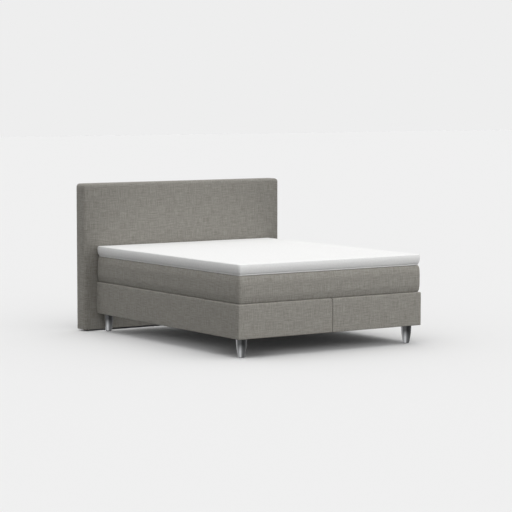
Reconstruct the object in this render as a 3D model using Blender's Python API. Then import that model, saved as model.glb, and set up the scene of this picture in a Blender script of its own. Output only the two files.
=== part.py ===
"""Box spring bed.

Two sprung box bases stand side by side on turned legs and carry one full-width mattress with a
loose topper. An upholstered headboard stands on the floor behind them and is bolted to the bases.
Metres, +Z up. X runs across the bed, -Y is the foot end and +Y the head end. The origin lies on
the floor, in the middle of the bed's width and length.
"""

import math

import bmesh
import bpy

# Driving sizes of the whole bed
MATTRESS_WIDTH = 1.600
MATTRESS_LENGTH = 2.000
MATTRESS_HEIGHT = 0.195
TOPPER_HEIGHT = 0.082
BASE_HEIGHT = 0.244
GROUND_CLEARANCE = 0.135
HEADBOARD_WIDTH = 1.810
HEADBOARD_HEIGHT = 1.135
HEADBOARD_DEPTH = 0.115
GAP = 0.0003

# Upholstery: fabric laminated to thin foam, stapled or sewn over the pieces below it
COVER_WALL = 0.006
MATTRESS_COVER_WALL = 0.004
TOPPER_COVER_WALL = 0.003
LINING = 0.0015

# Box bases
BASE_JOINT = 0.001
BASE_TOP_RADIUS = 0.009
BASE_BULGE = 0.0015
RAIL_THICKNESS = 0.020
TOP_PAD_HEIGHT = 0.020
LEDGER_SIZE = 0.025
SLAT_THICKNESS = 0.015
SLAT_WIDTH = 0.070
SLAT_HOUSING = 0.004
SLAT_COUNT = 7
SPRING_CLEARANCE = 0.004
POCKET_WIDTH = 0.080
POCKET_RELIEF = 0.008

# Legs, and their blocks in the outer corners of the bases
LEG_SIDE_INSET = 0.077
LEG_FOOT_END_INSET = 0.080
LEG_HEAD_END_INSET = 0.056
LEG_TOP_RADIUS = 0.038
LEG_FOOT_RADIUS = 0.023
LEG_CHAMFER = 0.0015
STUD_RADIUS = 0.005
STUD_LENGTH = 0.028
BLOCK_HEIGHT = 0.040
BLOCK_MARGIN = 0.036
GLIDE_HEIGHT = 0.003
GLIDE_RIM = 0.0025
GLIDE_PEG_RADIUS = 0.004
GLIDE_PEG_LENGTH = 0.012

# Height-adjustable support leg under the joint between the bases
SUPPORT_FLANGE_RADIUS = 0.055
SUPPORT_FLANGE_THICKNESS = 0.005
SUPPORT_TUBE_RADIUS = 0.021
SUPPORT_TUBE_LENGTH = 0.079
SUPPORT_UPWARD_TRAVEL = 0.012
SPINDLE_RADIUS = 0.008
SPINDLE_ENGAGEMENT = 0.045
SPINDLE_RUNNING_GAP = 0.0004
SPINDLE_COLLAR_RADIUS = 0.014
SPINDLE_COLLAR_HEIGHT = 0.009
SPINDLE_NECK_RADIUS = 0.005
SPINDLE_NECK_LENGTH = 0.008
FOOT_PAD_RADIUS = 0.022
FOOT_PAD_HEIGHT = 0.012
FOOT_PAD_CHAMFER = 0.002

# Steel links between the bases, and the brackets and bolts that hold the headboard
PIN_RADIUS = 0.004
PIN_LENGTH = 0.030
LINK_WIDTH = 0.030
LINK_THICKNESS = 0.003
LINK_MARGIN = 0.012
LINK_INSET = 0.180
BRACKET_INSET = 0.420
BRACKET_WIDTH = 0.060
BRACKET_FLANGE = 0.060
BRACKET_THICKNESS = 0.003
BRACKET_BOLT_RADIUS = 0.003
BRACKET_BOLT_LENGTH = 0.040
HEADBOARD_BOLT_RADIUS = 0.004
HEADBOARD_BOLT_DROP = 0.036
HEADBOARD_BOLT_GRIP = 0.030
BOLT_HEAD_HEIGHT = 0.005
BOLT_HEAD_RIM = 0.003

# Headboard
HEADBOARD_FRONT_RADIUS = 0.026
HEADBOARD_CORNER_RADIUS = 0.028
HEADBOARD_FRONT_FOAM = 0.040
HEADBOARD_EDGE_FOAM = 0.024
HEADBOARD_FLOOR_FOAM = 0.005
HEADBOARD_FACING = 0.005
HEADBOARD_BACK_LIP = 0.045
POST_WIDTH = 0.050
TOP_RAIL_HEIGHT = 0.060
BOTTOM_RAIL_HEIGHT = 0.130
HEADBOARD_GLIDE_HEIGHT = 0.012
HEADBOARD_GLIDE_RADIUS = 0.016

# Mattress and topper
MATTRESS_EDGE_RADIUS = 0.016
MATTRESS_CORNER_RADIUS = 0.022
MATTRESS_BULGE = 0.010
MATTRESS_LIP = 0.070
MATTRESS_FOAM = 0.030
TOPPER_EDGE_RADIUS = 0.018
TOPPER_CORNER_RADIUS = 0.024
TOPPER_BULGE = 0.004
TOPPER_CROWN = 0.0015
TOPPER_LIP = 0.050

# Fineness of round shapes, and the rules that curves follow
CORNER_STEPS = 3
EDGE_STEPS = 3
BULGE_STEPS = 5
LEG_STEPS = 7
POCKET_STEPS = 3
TURNED_SIDES = 16
BOLT_SIDES = 12
LEG_TAPER_POWER = 2.0
CROWN_POWER = 3
CROWN_SHARES = (0.55, 0.25, 0.08)
BLOCK_CHAMFER_SHARE = 0.45
SMALLEST_CORNER_SHARE = 0.05
SMOOTH_ANGLE = math.radians(35)

# Places and levels that follow from the sizes above
FOOT_Y = -(MATTRESS_LENGTH + GAP + HEADBOARD_DEPTH) / 2
HEAD_Y = FOOT_Y + MATTRESS_LENGTH
MIDDLE_Y = (FOOT_Y + HEAD_Y) / 2
HEADBOARD_Y = HEAD_Y + GAP
WALL_Y = HEADBOARD_Y + HEADBOARD_DEPTH
BASE_Z = GROUND_CLEARANCE
DECK_Z = BASE_Z + BASE_HEIGHT
MATTRESS_Z = DECK_Z + GAP
TOPPER_Z = MATTRESS_Z + MATTRESS_HEIGHT + GAP
FRAME_INSET = COVER_WALL + GAP
FRAME_Z = BASE_Z + FRAME_INSET
TOP_PAD_Z = DECK_Z - FRAME_INSET - TOP_PAD_HEIGHT
FRAME_TOP_Z = TOP_PAD_Z - GAP
RAIL_INNER_INSET = FRAME_INSET + RAIL_THICKNESS
RAIL_CENTRE_INSET = FRAME_INSET + RAIL_THICKNESS / 2
PIN_X = BASE_JOINT / 2 + RAIL_CENTRE_INSET
BLOCK_Z = BASE_Z + LINING + GAP
LEDGER_Z = BLOCK_Z + BLOCK_HEIGHT + GAP
SLAT_Z = LEDGER_Z + LEDGER_SIZE - SLAT_HOUSING
SPRING_Z = SLAT_Z + SLAT_THICKNESS + GAP
HARDWARE_Z = BASE_Z - GAP
HOLE_OVERRUN = COVER_WALL

SIDES = {"left": -1, "right": 1}

for item in list(bpy.data.objects):
    bpy.data.objects.remove(item, do_unlink=True)


def finish(name, colour, roughness, metallic=0.0):
    """A plain Principled material."""
    material = bpy.data.materials.new(name)
    material.use_nodes = True
    shader = material.node_tree.nodes["Principled BSDF"]
    shader.inputs["Base Color"].default_value = (*colour, 1.0)
    shader.inputs["Roughness"].default_value = roughness
    shader.inputs["Metallic"].default_value = metallic
    return material


GREY_FABRIC = finish("grey_upholstery_fabric", (0.235, 0.225, 0.205), 0.95)
WHITE_FABRIC = finish("white_knitted_ticking", (0.86, 0.86, 0.86), 0.9)
FOAM = finish("cream_foam", (0.80, 0.74, 0.55), 0.95)
TIMBER = finish("planed_spruce", (0.62, 0.45, 0.27), 0.7)
HARDBOARD = finish("brown_hardboard", (0.28, 0.17, 0.09), 0.75)
SPRING_CLOTH = finish("white_spring_fleece", (0.74, 0.75, 0.76), 0.95)
LINING_CLOTH = finish("black_lining_fleece", (0.025, 0.025, 0.027), 0.95)
CHROME = finish("polished_chrome", (0.78, 0.78, 0.79), 0.08, 1.0)
ZINC = finish("zinc_plated_steel", (0.55, 0.56, 0.58), 0.35, 1.0)
BLACK_PLASTIC = finish("black_plastic", (0.02, 0.02, 0.02), 0.5)


def upright(a, b, level):
    """Outline and level in space, for a piece that is built up along Z."""
    return (a, b, level)


def facing_foot(a, b, level):
    """The same for the headboard, whose levels run from the wall towards the foot end."""
    return (a, WALL_Y - level, b)


def crosswise(a, b, level):
    """The same for a piece whose side view is drawn, and which runs across the bed."""
    return (level, a, b)


def round_rectangle(low, high, low_radius, high_radius):
    """Anticlockwise points of a rectangle with round corners."""
    corners = (
        (high[0] - high_radius, high[1] - high_radius, high_radius),
        (low[0] + high_radius, high[1] - high_radius, high_radius),
        (low[0] + low_radius, low[1] + low_radius, low_radius),
        (high[0] - low_radius, low[1] + low_radius, low_radius),
    )
    points = []
    for quarter, (a, b, radius) in enumerate(corners):
        for step in range(CORNER_STEPS + 1):
            angle = (quarter + step / CORNER_STEPS) * math.pi / 2
            points.append((a + radius * math.cos(angle), b + radius * math.sin(angle)))
    return points


class Plan:
    """The outline of an upholstered piece, with the rings that lie inside it."""

    def __init__(self, low, high, corner, place=upright, low_corner=None):
        self.low = low
        self.high = high
        self.corner = corner
        self.low_corner = corner if low_corner is None else low_corner
        self.place = place

    def ring(self, inset, level, sill=None):
        """The outline drawn in by inset at one level, and its lower side by sill."""
        low = (self.low[0] + inset, self.low[1] + (inset if sill is None else sill))
        high = (self.high[0] - inset, self.high[1] - inset)
        low_radius = max(self.low_corner - inset, self.low_corner * SMALLEST_CORNER_SHARE)
        high_radius = max(self.corner - inset, self.corner * SMALLEST_CORNER_SHARE)
        return [self.place(a, b, level) for a, b in round_rectangle(low, high, low_radius, high_radius)]

    def rings(self, profile):
        """One ring for each entry of a profile."""
        return [self.ring(*entry) for entry in profile]


def edge_arc(inset, level, radius, start, end):
    """A round edge about a centre, as insets and levels; its angles count from straight up."""
    if radius <= 0:
        return [(inset, level)]
    points = []
    for step in range(EDGE_STEPS + 1):
        angle = start + (end - start) * step / EDGE_STEPS
        points.append((inset - radius * math.sin(angle), level + radius * math.cos(angle)))
    return points


def padded_side(inset, low, high, low_radius, high_radius, bulge=0.0):
    """Insets and levels of a padded side, from its upper edge down to its lower edge."""
    upper = high - high_radius
    lower = low + low_radius
    points = edge_arc(inset + bulge + high_radius, upper, high_radius, 0.0, math.pi / 2)
    if bulge > 0:
        for step in range(1, BULGE_STEPS):
            share = step / BULGE_STEPS
            drawn_in = bulge * (1 - math.sin(math.pi * share))
            points.append((inset + drawn_in, upper + (lower - upper) * share))
    return points + edge_arc(inset + bulge + low_radius, lower, low_radius, math.pi / 2, math.pi)


def crown(inset, level, rise, half_width):
    """Insets and levels of a softly crowned face, from near its middle out to its edge."""
    heights = [1 - (1 - share) ** CROWN_POWER for share in CROWN_SHARES]
    points = []
    for share, height in zip(CROWN_SHARES, heights):
        points.append((inset + (half_width - inset) * share, level + rise * height / heights[0]))
    return points


def with_sill(profile, sill):
    """A profile whose lower side stays at one place."""
    return [(inset, level, sill) for inset, level in profile]


def loft(rings):
    """One closed body through rings of equal counts, capped at the first and the last."""
    shape = bmesh.new()
    loops = [[shape.verts.new(point) for point in ring] for ring in rings]
    for upper, lower in zip(loops, loops[1:]):
        for index in range(len(upper)):
            after = (index + 1) % len(upper)
            shape.faces.new((upper[index], lower[index], lower[after], upper[after]))
    shape.faces.new(loops[0])
    shape.faces.new(loops[-1])
    bmesh.ops.recalc_face_normals(shape, faces=shape.faces)
    return shape


def case(plan, outer, inner, lip, level, wall):
    """A cover that is closed above and turned under by lip at its lower level.

    outer and inner are the profiles of its two faces, both from the top down."""
    turned_under = [(lip, level), (lip, level + wall)]
    return loft(plan.rings(outer + turned_under + inner[::-1]))


def sheet(plan, inset, low, high):
    """A flat sheet that lies inside a plan."""
    return loft(plan.rings([(inset, high), (inset, low)]))


def extruded(outline, low, high, place=upright):
    """A flat outline drawn straight from one level to another."""
    return loft([[place(a, b, level) for a, b in outline] for level in (low, high)])


def box(low, high):
    """A square-edged board between two corners."""
    outline = ((high[0], high[1]), (low[0], high[1]), (low[0], low[1]), (high[0], low[1]))
    return extruded(outline, low[2], high[2])


def circle(radius, sides):
    """Points of a circle about the origin."""
    turns = [2 * math.pi * index / sides for index in range(sides)]
    return [(radius * math.cos(turn), radius * math.sin(turn)) for turn in turns]


def turned(profile):
    """A body turned about Z, from radii and levels."""
    return loft([[(a, b, level) for a, b in circle(radius, TURNED_SIDES)] for radius, level in profile])


def mesh_of(name, shape, smooth=False):
    """A mesh from a shape; a smooth one keeps its sharp corners."""
    mesh = bpy.data.meshes.new(name)
    shape.to_mesh(mesh)
    shape.free()
    if smooth:
        mesh.shade_smooth()
        mesh.set_sharp_from_angle(angle=SMOOTH_ANGLE)
    return mesh


def carry(piece, parent):
    """Parents a piece without moving it."""
    if parent:
        bpy.context.view_layer.update()
        piece.parent = parent
        piece.matrix_parent_inverse = parent.matrix_world.inverted()


def add(name, mesh, material, location=(0.0, 0.0, 0.0), rotation=(0.0, 0.0, 0.0), parent=None):
    """Puts one piece in the scene."""
    piece = bpy.data.objects.new(name, mesh)
    if not mesh.materials:
        mesh.materials.append(material)
    piece.location = location
    piece.rotation_euler = rotation
    bpy.context.scene.collection.objects.link(piece)
    carry(piece, parent)
    return piece


def pivot(name, location, parent=None):
    """An empty on a joint's axis, which carries the pieces that move together."""
    empty = bpy.data.objects.new(name, None)
    empty.location = location
    bpy.context.scene.collection.objects.link(empty)
    carry(empty, parent)
    return empty


def joined(name, shapes):
    """One mesh of several separate shapes."""
    mesh = bpy.data.meshes.new(name)
    whole = bmesh.new()
    for shape in shapes:
        shape.to_mesh(mesh)
        shape.free()
        whole.from_mesh(mesh)
    whole.to_mesh(mesh)
    whole.free()
    return mesh


def tool(name, shapes):
    """A hidden body, made of separate shapes, that a Boolean adds or cuts."""
    piece = bpy.data.objects.new(name, joined(name, shapes))
    bpy.context.scene.collection.objects.link(piece)
    piece.hide_render = True
    piece.display_type = "WIRE"
    return piece


def combine(piece, name, shapes, operation):
    """Adds shapes to a piece, or cuts them from it, with a live Boolean."""
    modifier = piece.modifiers.new(name, "BOOLEAN")
    modifier.operation = operation
    modifier.solver = "EXACT"
    modifier.object = tool(f"{piece.name}_{name}", shapes)


def rod(start, end, radius):
    """A straight round rod along Y or Z, between two points."""
    points = circle(radius, BOLT_SIDES)
    if start[2] == end[2]:
        return loft([[(x + a, y, z + b) for a, b in points] for x, y, z in (start, end)])
    return loft([[(x + a, y + b, z) for a, b in points] for x, y, z in (start, end)])


def drill(piece, name, ends, radius):
    """Cuts round holes into a piece, each given by its two ends."""
    combine(piece, name, [rod(start, end, radius) for start, end in ends], "DIFFERENCE")


# Places of the fastenings

def upright_holes(places, top):
    """The two ends of a hole at each place, from below the bases up to a level."""
    return [((x, y, BASE_Z - HOLE_OVERRUN), (x, y, top)) for x, y in places]


def link_places(side):
    """Where the links' pins enter the inner rail of one base."""
    return [(side * PIN_X, FOOT_Y + LINK_INSET), (side * PIN_X, HEAD_Y - LINK_INSET)]


def bracket_bolt_place(side):
    """Where the bracket's bolt enters the head rail of one base."""
    return (side * BRACKET_INSET, HEAD_Y - RAIL_CENTRE_INSET)


def leg_places(side):
    """Where the two legs of one base stand, foot end first."""
    x = side * (MATTRESS_WIDTH / 2 - LEG_SIDE_INSET)
    return [(x, FOOT_Y + LEG_FOOT_END_INSET), (x, HEAD_Y - LEG_HEAD_END_INSET)]


PIN_TOP_Z = HARDWARE_Z + PIN_LENGTH
BRACKET_BOLT_Z = HARDWARE_Z - BRACKET_THICKNESS - GAP
BRACKET_BOLT_TOP_Z = BRACKET_BOLT_Z + BRACKET_BOLT_LENGTH
STUD_TOP_Z = HARDWARE_Z + STUD_LENGTH


# The two box bases

def base_frame(name, low, high, side):
    """Four upright boards: the foot and head rails run through, the side rails stand between."""
    foot_inner = low[1] + RAIL_THICKNESS
    head_inner = high[1] - RAIL_THICKNESS
    left_inner = low[0] + RAIL_THICKNESS
    right_inner = high[0] - RAIL_THICKNESS
    left_rail, right_rail = ("outer_rail", "inner_rail") if side < 0 else ("inner_rail", "outer_rail")
    boards = {
        "foot_rail": (low, (high[0], foot_inner)),
        "head_rail": ((low[0], head_inner), high),
        left_rail: ((low[0], foot_inner + GAP), (left_inner, head_inner - GAP)),
        right_rail: ((right_inner, foot_inner + GAP), (high[0], head_inner - GAP)),
    }
    rails = {}
    for board, (near, far) in boards.items():
        title = f"{name}_{board}"
        rails[board] = add(title, mesh_of(title, box((*near, FRAME_Z), (*far, FRAME_TOP_Z))), TIMBER)
    pin_holes = upright_holes(link_places(side) + [(side * PIN_X, MIDDLE_Y)], PIN_TOP_Z + GAP)
    drill(rails["inner_rail"], "pin_holes", pin_holes, PIN_RADIUS + GAP)
    bolt_hole = upright_holes([bracket_bolt_place(side)], BRACKET_BOLT_TOP_Z + GAP)
    drill(rails["head_rail"], "bolt_hole", bolt_hole, BRACKET_BOLT_RADIUS + GAP)


def base_slats(name, low, high):
    """Slats let into two ledgers that run along the side rails, stapled into one ladder."""
    title = f"{name}_slats"
    ledgers = []
    for left in (low[0], high[0] - LEDGER_SIZE):
        ledgers.append(box((left, low[1], LEDGER_Z), (left + LEDGER_SIZE, high[1], LEDGER_Z + LEDGER_SIZE)))
    ladder = add(title, joined(title, ledgers), TIMBER)
    slats = []
    spacing = (high[1] - low[1] - 2 * SLAT_HOUSING - SLAT_WIDTH) / (SLAT_COUNT - 1)
    for index in range(SLAT_COUNT):
        near = (low[0] + SLAT_HOUSING, low[1] + SLAT_HOUSING + index * spacing, SLAT_Z)
        far = (high[0] - SLAT_HOUSING, near[1] + SLAT_WIDTH, SLAT_Z + SLAT_THICKNESS)
        slats.append(box(near, far))
    combine(ladder, "slats", slats, "UNION")


def pocket_outline(low, high):
    """The outline of a block of pocket springs, with a flattened bulge for each pocket."""
    corners = ((high[0], high[1]), (low[0], high[1]), (low[0], low[1]), (high[0], low[1]))
    points = []
    for start, end in zip(corners, corners[1:] + corners[:1]):
        run = (end[0] - start[0], end[1] - start[1])
        length = math.hypot(*run)
        outward = (run[1] / length, -run[0] / length)
        steps = round(length / POCKET_WIDTH) * POCKET_STEPS
        for step in range(steps):
            relief = POCKET_RELIEF * math.sin(math.pi * (step % POCKET_STEPS) / POCKET_STEPS)
            x = start[0] + run[0] * step / steps - outward[0] * relief
            y = start[1] + run[1] * step / steps - outward[1] * relief
            points.append((x, y))
    return points


def spring_block(name, low, high, bottom, top, parent=None):
    """Pocket springs glued side by side between two rectangles' corners."""
    inset = SPRING_CLEARANCE + POCKET_RELIEF
    outline = pocket_outline((low[0] + inset, low[1] + inset), (high[0] - inset, high[1] - inset))
    return add(name, mesh_of(name, extruded(outline, bottom, top)), SPRING_CLOTH, parent=parent)


def base_upholstery(name, low, high, side):
    """The pad over the springs, the stapled cover and the cloth that closes the underside."""
    plan = Plan(low, high, FRAME_INSET)
    outer = padded_side(0, BASE_Z, DECK_Z, COVER_WALL, BASE_TOP_RADIUS, BASE_BULGE)
    inner_low = BASE_Z + COVER_WALL
    inner_high = DECK_Z - COVER_WALL
    inner = padded_side(COVER_WALL, inner_low, inner_high, 0, BASE_TOP_RADIUS - COVER_WALL)
    title = f"{name}_cover"
    shell = case(plan, outer, inner, RAIL_INNER_INSET, BASE_Z, COVER_WALL)
    cover = add(title, mesh_of(title, shell, smooth=True), GREY_FABRIC)
    pin_holes = upright_holes(link_places(side) + [(side * PIN_X, MIDDLE_Y)], inner_low + GAP)
    drill(cover, "pin_holes", pin_holes, PIN_RADIUS + GAP)
    bolt_hole = upright_holes([bracket_bolt_place(side)], inner_low + GAP)
    drill(cover, "bolt_hole", bolt_hole, BRACKET_BOLT_RADIUS + GAP)

    title = f"{name}_top_pad"
    pad_radius = BASE_TOP_RADIUS - FRAME_INSET
    pad = loft(plan.rings(padded_side(FRAME_INSET, TOP_PAD_Z, inner_high - GAP, 0, pad_radius)))
    add(title, mesh_of(title, pad, smooth=True), FOAM)

    title = f"{name}_dust_cloth"
    cloth = sheet(plan, RAIL_INNER_INSET + GAP, BASE_Z, BASE_Z + LINING)
    dust_cloth = add(title, mesh_of(title, cloth), LINING_CLOTH)
    drill(dust_cloth, "stud_holes", upright_holes(leg_places(side), STUD_TOP_Z), STUD_RADIUS + GAP)


def base(hand, side):
    """One half-width box base."""
    name = f"{hand}_base"
    inner_x = side * BASE_JOINT / 2
    outer_x = side * MATTRESS_WIDTH / 2
    low = (min(inner_x, outer_x), FOOT_Y)
    high = (max(inner_x, outer_x), HEAD_Y)
    frame_low = (low[0] + FRAME_INSET, low[1] + FRAME_INSET)
    frame_high = (high[0] - FRAME_INSET, high[1] - FRAME_INSET)
    base_frame(name, frame_low, frame_high, side)
    well_low = (frame_low[0] + RAIL_THICKNESS + GAP, frame_low[1] + RAIL_THICKNESS + GAP)
    well_high = (frame_high[0] - RAIL_THICKNESS - GAP, frame_high[1] - RAIL_THICKNESS - GAP)
    base_slats(name, well_low, well_high)
    spring_block(f"{name}_springs", well_low, well_high, SPRING_Z, FRAME_TOP_Z)
    base_upholstery(name, low, high, side)


# Legs with their blocks and glides

def leg_block_mesh():
    """A timber block with one corner cut off, drawn from the corner that fills the frame's."""
    reach = LEG_SIDE_INSET - RAIL_INNER_INSET - GAP + BLOCK_MARGIN
    cut = reach * BLOCK_CHAMFER_SHARE
    outline = ((0.0, 0.0), (reach, 0.0), (reach, reach - cut), (reach - cut, reach), (0.0, reach))
    return mesh_of("leg_block", extruded(outline, BLOCK_Z, BLOCK_Z + BLOCK_HEIGHT))


def leg_mesh():
    """A turned leg with its threaded stud above and the bore for its glide below."""
    foot_z = GLIDE_HEIGHT + GAP
    shoulder_z = HARDWARE_Z - LEG_CHAMFER
    profile = [(STUD_RADIUS, STUD_TOP_Z), (STUD_RADIUS, HARDWARE_Z)]
    profile.append((LEG_TOP_RADIUS - LEG_CHAMFER, HARDWARE_Z))
    for step in range(LEG_STEPS + 1):
        share = step / LEG_STEPS
        taper = (LEG_TOP_RADIUS - LEG_FOOT_RADIUS) * share ** LEG_TAPER_POWER
        profile.append((LEG_TOP_RADIUS - taper, shoulder_z + (foot_z - shoulder_z) * share))
    bore = GLIDE_PEG_RADIUS + GAP
    profile += [(bore, foot_z), (bore, foot_z + GLIDE_PEG_LENGTH)]
    return mesh_of("leg", turned(profile), smooth=True)


def glide_mesh(name, radius, height, peg_length):
    """A plastic glide: a disc with a peg that is pressed in from below."""
    peg = [(GLIDE_PEG_RADIUS, height + peg_length), (GLIDE_PEG_RADIUS, height)]
    profile = peg + [(radius, height), (radius, 0.0)]
    return mesh_of(name, turned(profile), smooth=True)


def legs():
    """The four legs in the outer corners."""
    block = leg_block_mesh()
    leg = leg_mesh()
    glide = glide_mesh("leg_glide", LEG_FOOT_RADIUS - GLIDE_RIM, GLIDE_HEIGHT, GLIDE_PEG_LENGTH)
    well_x = MATTRESS_WIDTH / 2 - RAIL_INNER_INSET - GAP
    well_inset = RAIL_INNER_INSET + GAP
    corners = {
        "foot_left": (-well_x, FOOT_Y + well_inset, 0.0),
        "foot_right": (well_x, FOOT_Y + well_inset, math.pi / 2),
        "head_right": (well_x, HEAD_Y - well_inset, math.pi),
        "head_left": (-well_x, HEAD_Y - well_inset, -math.pi / 2),
    }
    for corner, (x, y, turn) in corners.items():
        end, hand = corner.split("_")
        leg_x, leg_y = leg_places(SIDES[hand])[0 if end == "foot" else 1]
        leg_block = add(f"{corner}_leg_block", block, TIMBER, (x, y, 0.0), (0.0, 0.0, turn))
        drill(leg_block, "stud_hole", upright_holes([(leg_x, leg_y)], STUD_TOP_Z + GAP), STUD_RADIUS + GAP)
        add(f"{corner}_leg", leg, CHROME, (leg_x, leg_y, 0.0))
        add(f"{corner}_leg_glide", glide, BLACK_PLASTIC, (leg_x, leg_y, 0.0))


def support_leg():
    """The adjustable leg in the middle: a tube with a flange, a screw spindle and a foot pad."""
    flange_z = HARDWARE_Z - SUPPORT_FLANGE_THICKNESS
    tube_z = flange_z - SUPPORT_TUBE_LENGTH
    bore = SPINDLE_RADIUS + SPINDLE_RUNNING_GAP
    bore_top = tube_z + SPINDLE_ENGAGEMENT + SUPPORT_UPWARD_TRAVEL + SPINDLE_RUNNING_GAP
    profile = [
        (SUPPORT_FLANGE_RADIUS, HARDWARE_Z),
        (SUPPORT_FLANGE_RADIUS, flange_z),
        (SUPPORT_TUBE_RADIUS, flange_z),
        (SUPPORT_TUBE_RADIUS, tube_z),
        (bore, tube_z),
        (bore, bore_top),
    ]
    tube = add("support_leg", mesh_of("support_leg", turned(profile), smooth=True), BLACK_PLASTIC,
               (0.0, MIDDLE_Y, 0.0))
    pins = [rod((x, MIDDLE_Y, flange_z + GAP), (x, MIDDLE_Y, PIN_TOP_Z), PIN_RADIUS) for x in (-PIN_X, PIN_X)]
    combine(tube, "pins", pins, "UNION")

    travel = pivot("support_travel", (0.0, MIDDLE_Y, 0.0))
    turn = pivot("support_turn", (0.0, MIDDLE_Y, 0.0), travel)
    collar_z = FOOT_PAD_HEIGHT + SPINDLE_RUNNING_GAP
    collar_top = collar_z + SPINDLE_COLLAR_HEIGHT
    neck_z = collar_z - SPINDLE_NECK_LENGTH
    profile = [
        (SPINDLE_RADIUS, tube_z + SPINDLE_ENGAGEMENT),
        (SPINDLE_RADIUS, collar_top),
        (SPINDLE_COLLAR_RADIUS, collar_top),
        (SPINDLE_COLLAR_RADIUS, collar_z),
        (SPINDLE_NECK_RADIUS, collar_z),
        (SPINDLE_NECK_RADIUS, neck_z),
    ]
    add("support_spindle", mesh_of("support_spindle", turned(profile), smooth=True), ZINC,
        (0.0, MIDDLE_Y, 0.0), parent=turn)
    socket = SPINDLE_NECK_RADIUS + SPINDLE_RUNNING_GAP
    profile = [
        (socket, neck_z - SPINDLE_RUNNING_GAP),
        (socket, FOOT_PAD_HEIGHT),
        (FOOT_PAD_RADIUS - FOOT_PAD_CHAMFER, FOOT_PAD_HEIGHT),
        (FOOT_PAD_RADIUS, FOOT_PAD_HEIGHT - FOOT_PAD_CHAMFER),
        (FOOT_PAD_RADIUS, 0.0),
    ]
    add("support_pad", mesh_of("support_pad", turned(profile), smooth=True), BLACK_PLASTIC,
        (0.0, MIDDLE_Y, 0.0), parent=travel)


# Steel fastenings under the bed

def base_links():
    """Straps whose two pins hold the inner rails of the bases together."""
    reach = PIN_X + LINK_MARGIN
    for end, y in (("foot", FOOT_Y + LINK_INSET), ("head", HEAD_Y - LINK_INSET)):
        title = f"base_link_{end}"
        strap_z = HARDWARE_Z - LINK_THICKNESS
        strap = box((-reach, y - LINK_WIDTH / 2, strap_z), (reach, y + LINK_WIDTH / 2, HARDWARE_Z))
        link = add(title, mesh_of(title, strap), ZINC)
        pins = [rod((x, y, strap_z + GAP), (x, y, PIN_TOP_Z), PIN_RADIUS) for x in (-PIN_X, PIN_X)]
        combine(link, "pins", pins, "UNION")


def bolt_mesh(name, radius, length):
    """A hexagon bolt along +Z, whose shank starts at its origin."""
    across_flats = math.cos(2 * math.pi / BOLT_SIDES)
    head = []
    for index, (a, b) in enumerate(circle(radius + BOLT_HEAD_RIM, BOLT_SIDES)):
        reach = across_flats if index % 2 else 1.0
        head.append((a * reach, b * reach))
    shank = circle(radius, BOLT_SIDES)
    rings = []
    for outline, level in ((head, -BOLT_HEAD_HEIGHT), (head, 0.0), (shank, 0.0), (shank, length)):
        rings.append([(a, b, level) for a, b in outline])
    return mesh_of(name, loft(rings))


def headboard_fastenings():
    """Angle brackets under the bases' head ends, bolted up into the bases and back into the headboard."""
    rear_y = HEADBOARD_Y - GAP
    angle = (
        (rear_y, HARDWARE_Z),
        (rear_y - BRACKET_FLANGE, HARDWARE_Z),
        (rear_y - BRACKET_FLANGE, HARDWARE_Z - BRACKET_THICKNESS),
        (rear_y - BRACKET_THICKNESS, HARDWARE_Z - BRACKET_THICKNESS),
        (rear_y - BRACKET_THICKNESS, HARDWARE_Z - BRACKET_FLANGE),
        (rear_y, HARDWARE_Z - BRACKET_FLANGE),
    )
    bolt_y = rear_y - BRACKET_THICKNESS - GAP
    bolt_z = HARDWARE_Z - HEADBOARD_BOLT_DROP
    headboard_bolt = bolt_mesh("headboard_bolt", HEADBOARD_BOLT_RADIUS, HEADBOARD_BOLT_END_Y - bolt_y)
    bracket_bolt = bolt_mesh("bracket_bolt", BRACKET_BOLT_RADIUS, BRACKET_BOLT_LENGTH)
    for hand, side in SIDES.items():
        x = side * BRACKET_INSET
        title = f"{hand}_headboard_bracket"
        shape = extruded(angle, x - BRACKET_WIDTH / 2, x + BRACKET_WIDTH / 2, crosswise)
        bracket = add(title, mesh_of(title, shape), ZINC)
        across = [((x, bolt_y - HOLE_OVERRUN, bolt_z), (x, rear_y + HOLE_OVERRUN, bolt_z))]
        drill(bracket, "headboard_bolt_hole", across, HEADBOARD_BOLT_RADIUS + GAP)
        upward = [((x, bracket_bolt_place(side)[1], BRACKET_BOLT_Z - HOLE_OVERRUN),
                   (x, bracket_bolt_place(side)[1], HARDWARE_Z + HOLE_OVERRUN))]
        drill(bracket, "bracket_bolt_hole", upward, BRACKET_BOLT_RADIUS + GAP)
        add(f"{hand}_headboard_bolt", headboard_bolt, ZINC, (x, bolt_y, bolt_z), (-math.pi / 2, 0.0, 0.0))
        add(f"{hand}_bracket_bolt", bracket_bolt, ZINC, (*bracket_bolt_place(side), BRACKET_BOLT_Z))


# Headboard; its levels count from the wall towards the foot end

HEADBOARD_BOTTOM_Z = HEADBOARD_GLIDE_HEIGHT + GAP
FOAM_FRONT = HEADBOARD_DEPTH - COVER_WALL - GAP
FACING_FRONT = FOAM_FRONT - HEADBOARD_FRONT_FOAM - GAP
HEADBOARD_FRAME_FRONT = FACING_FRONT - HEADBOARD_FACING - GAP
HEADBOARD_FRAME_BACK = COVER_WALL + GAP
HEADBOARD_BOLT_END_Y = WALL_Y - HEADBOARD_FRAME_FRONT + HEADBOARD_BOLT_GRIP
HEADBOARD_FRAME_X = HEADBOARD_WIDTH / 2 - COVER_WALL - HEADBOARD_EDGE_FOAM - 2 * GAP
HEADBOARD_FRAME_Z = HEADBOARD_BOTTOM_Z + COVER_WALL + HEADBOARD_FLOOR_FOAM + 2 * GAP
HEADBOARD_FRAME_TOP_Z = HEADBOARD_HEIGHT - COVER_WALL - HEADBOARD_EDGE_FOAM - 2 * GAP
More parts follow.
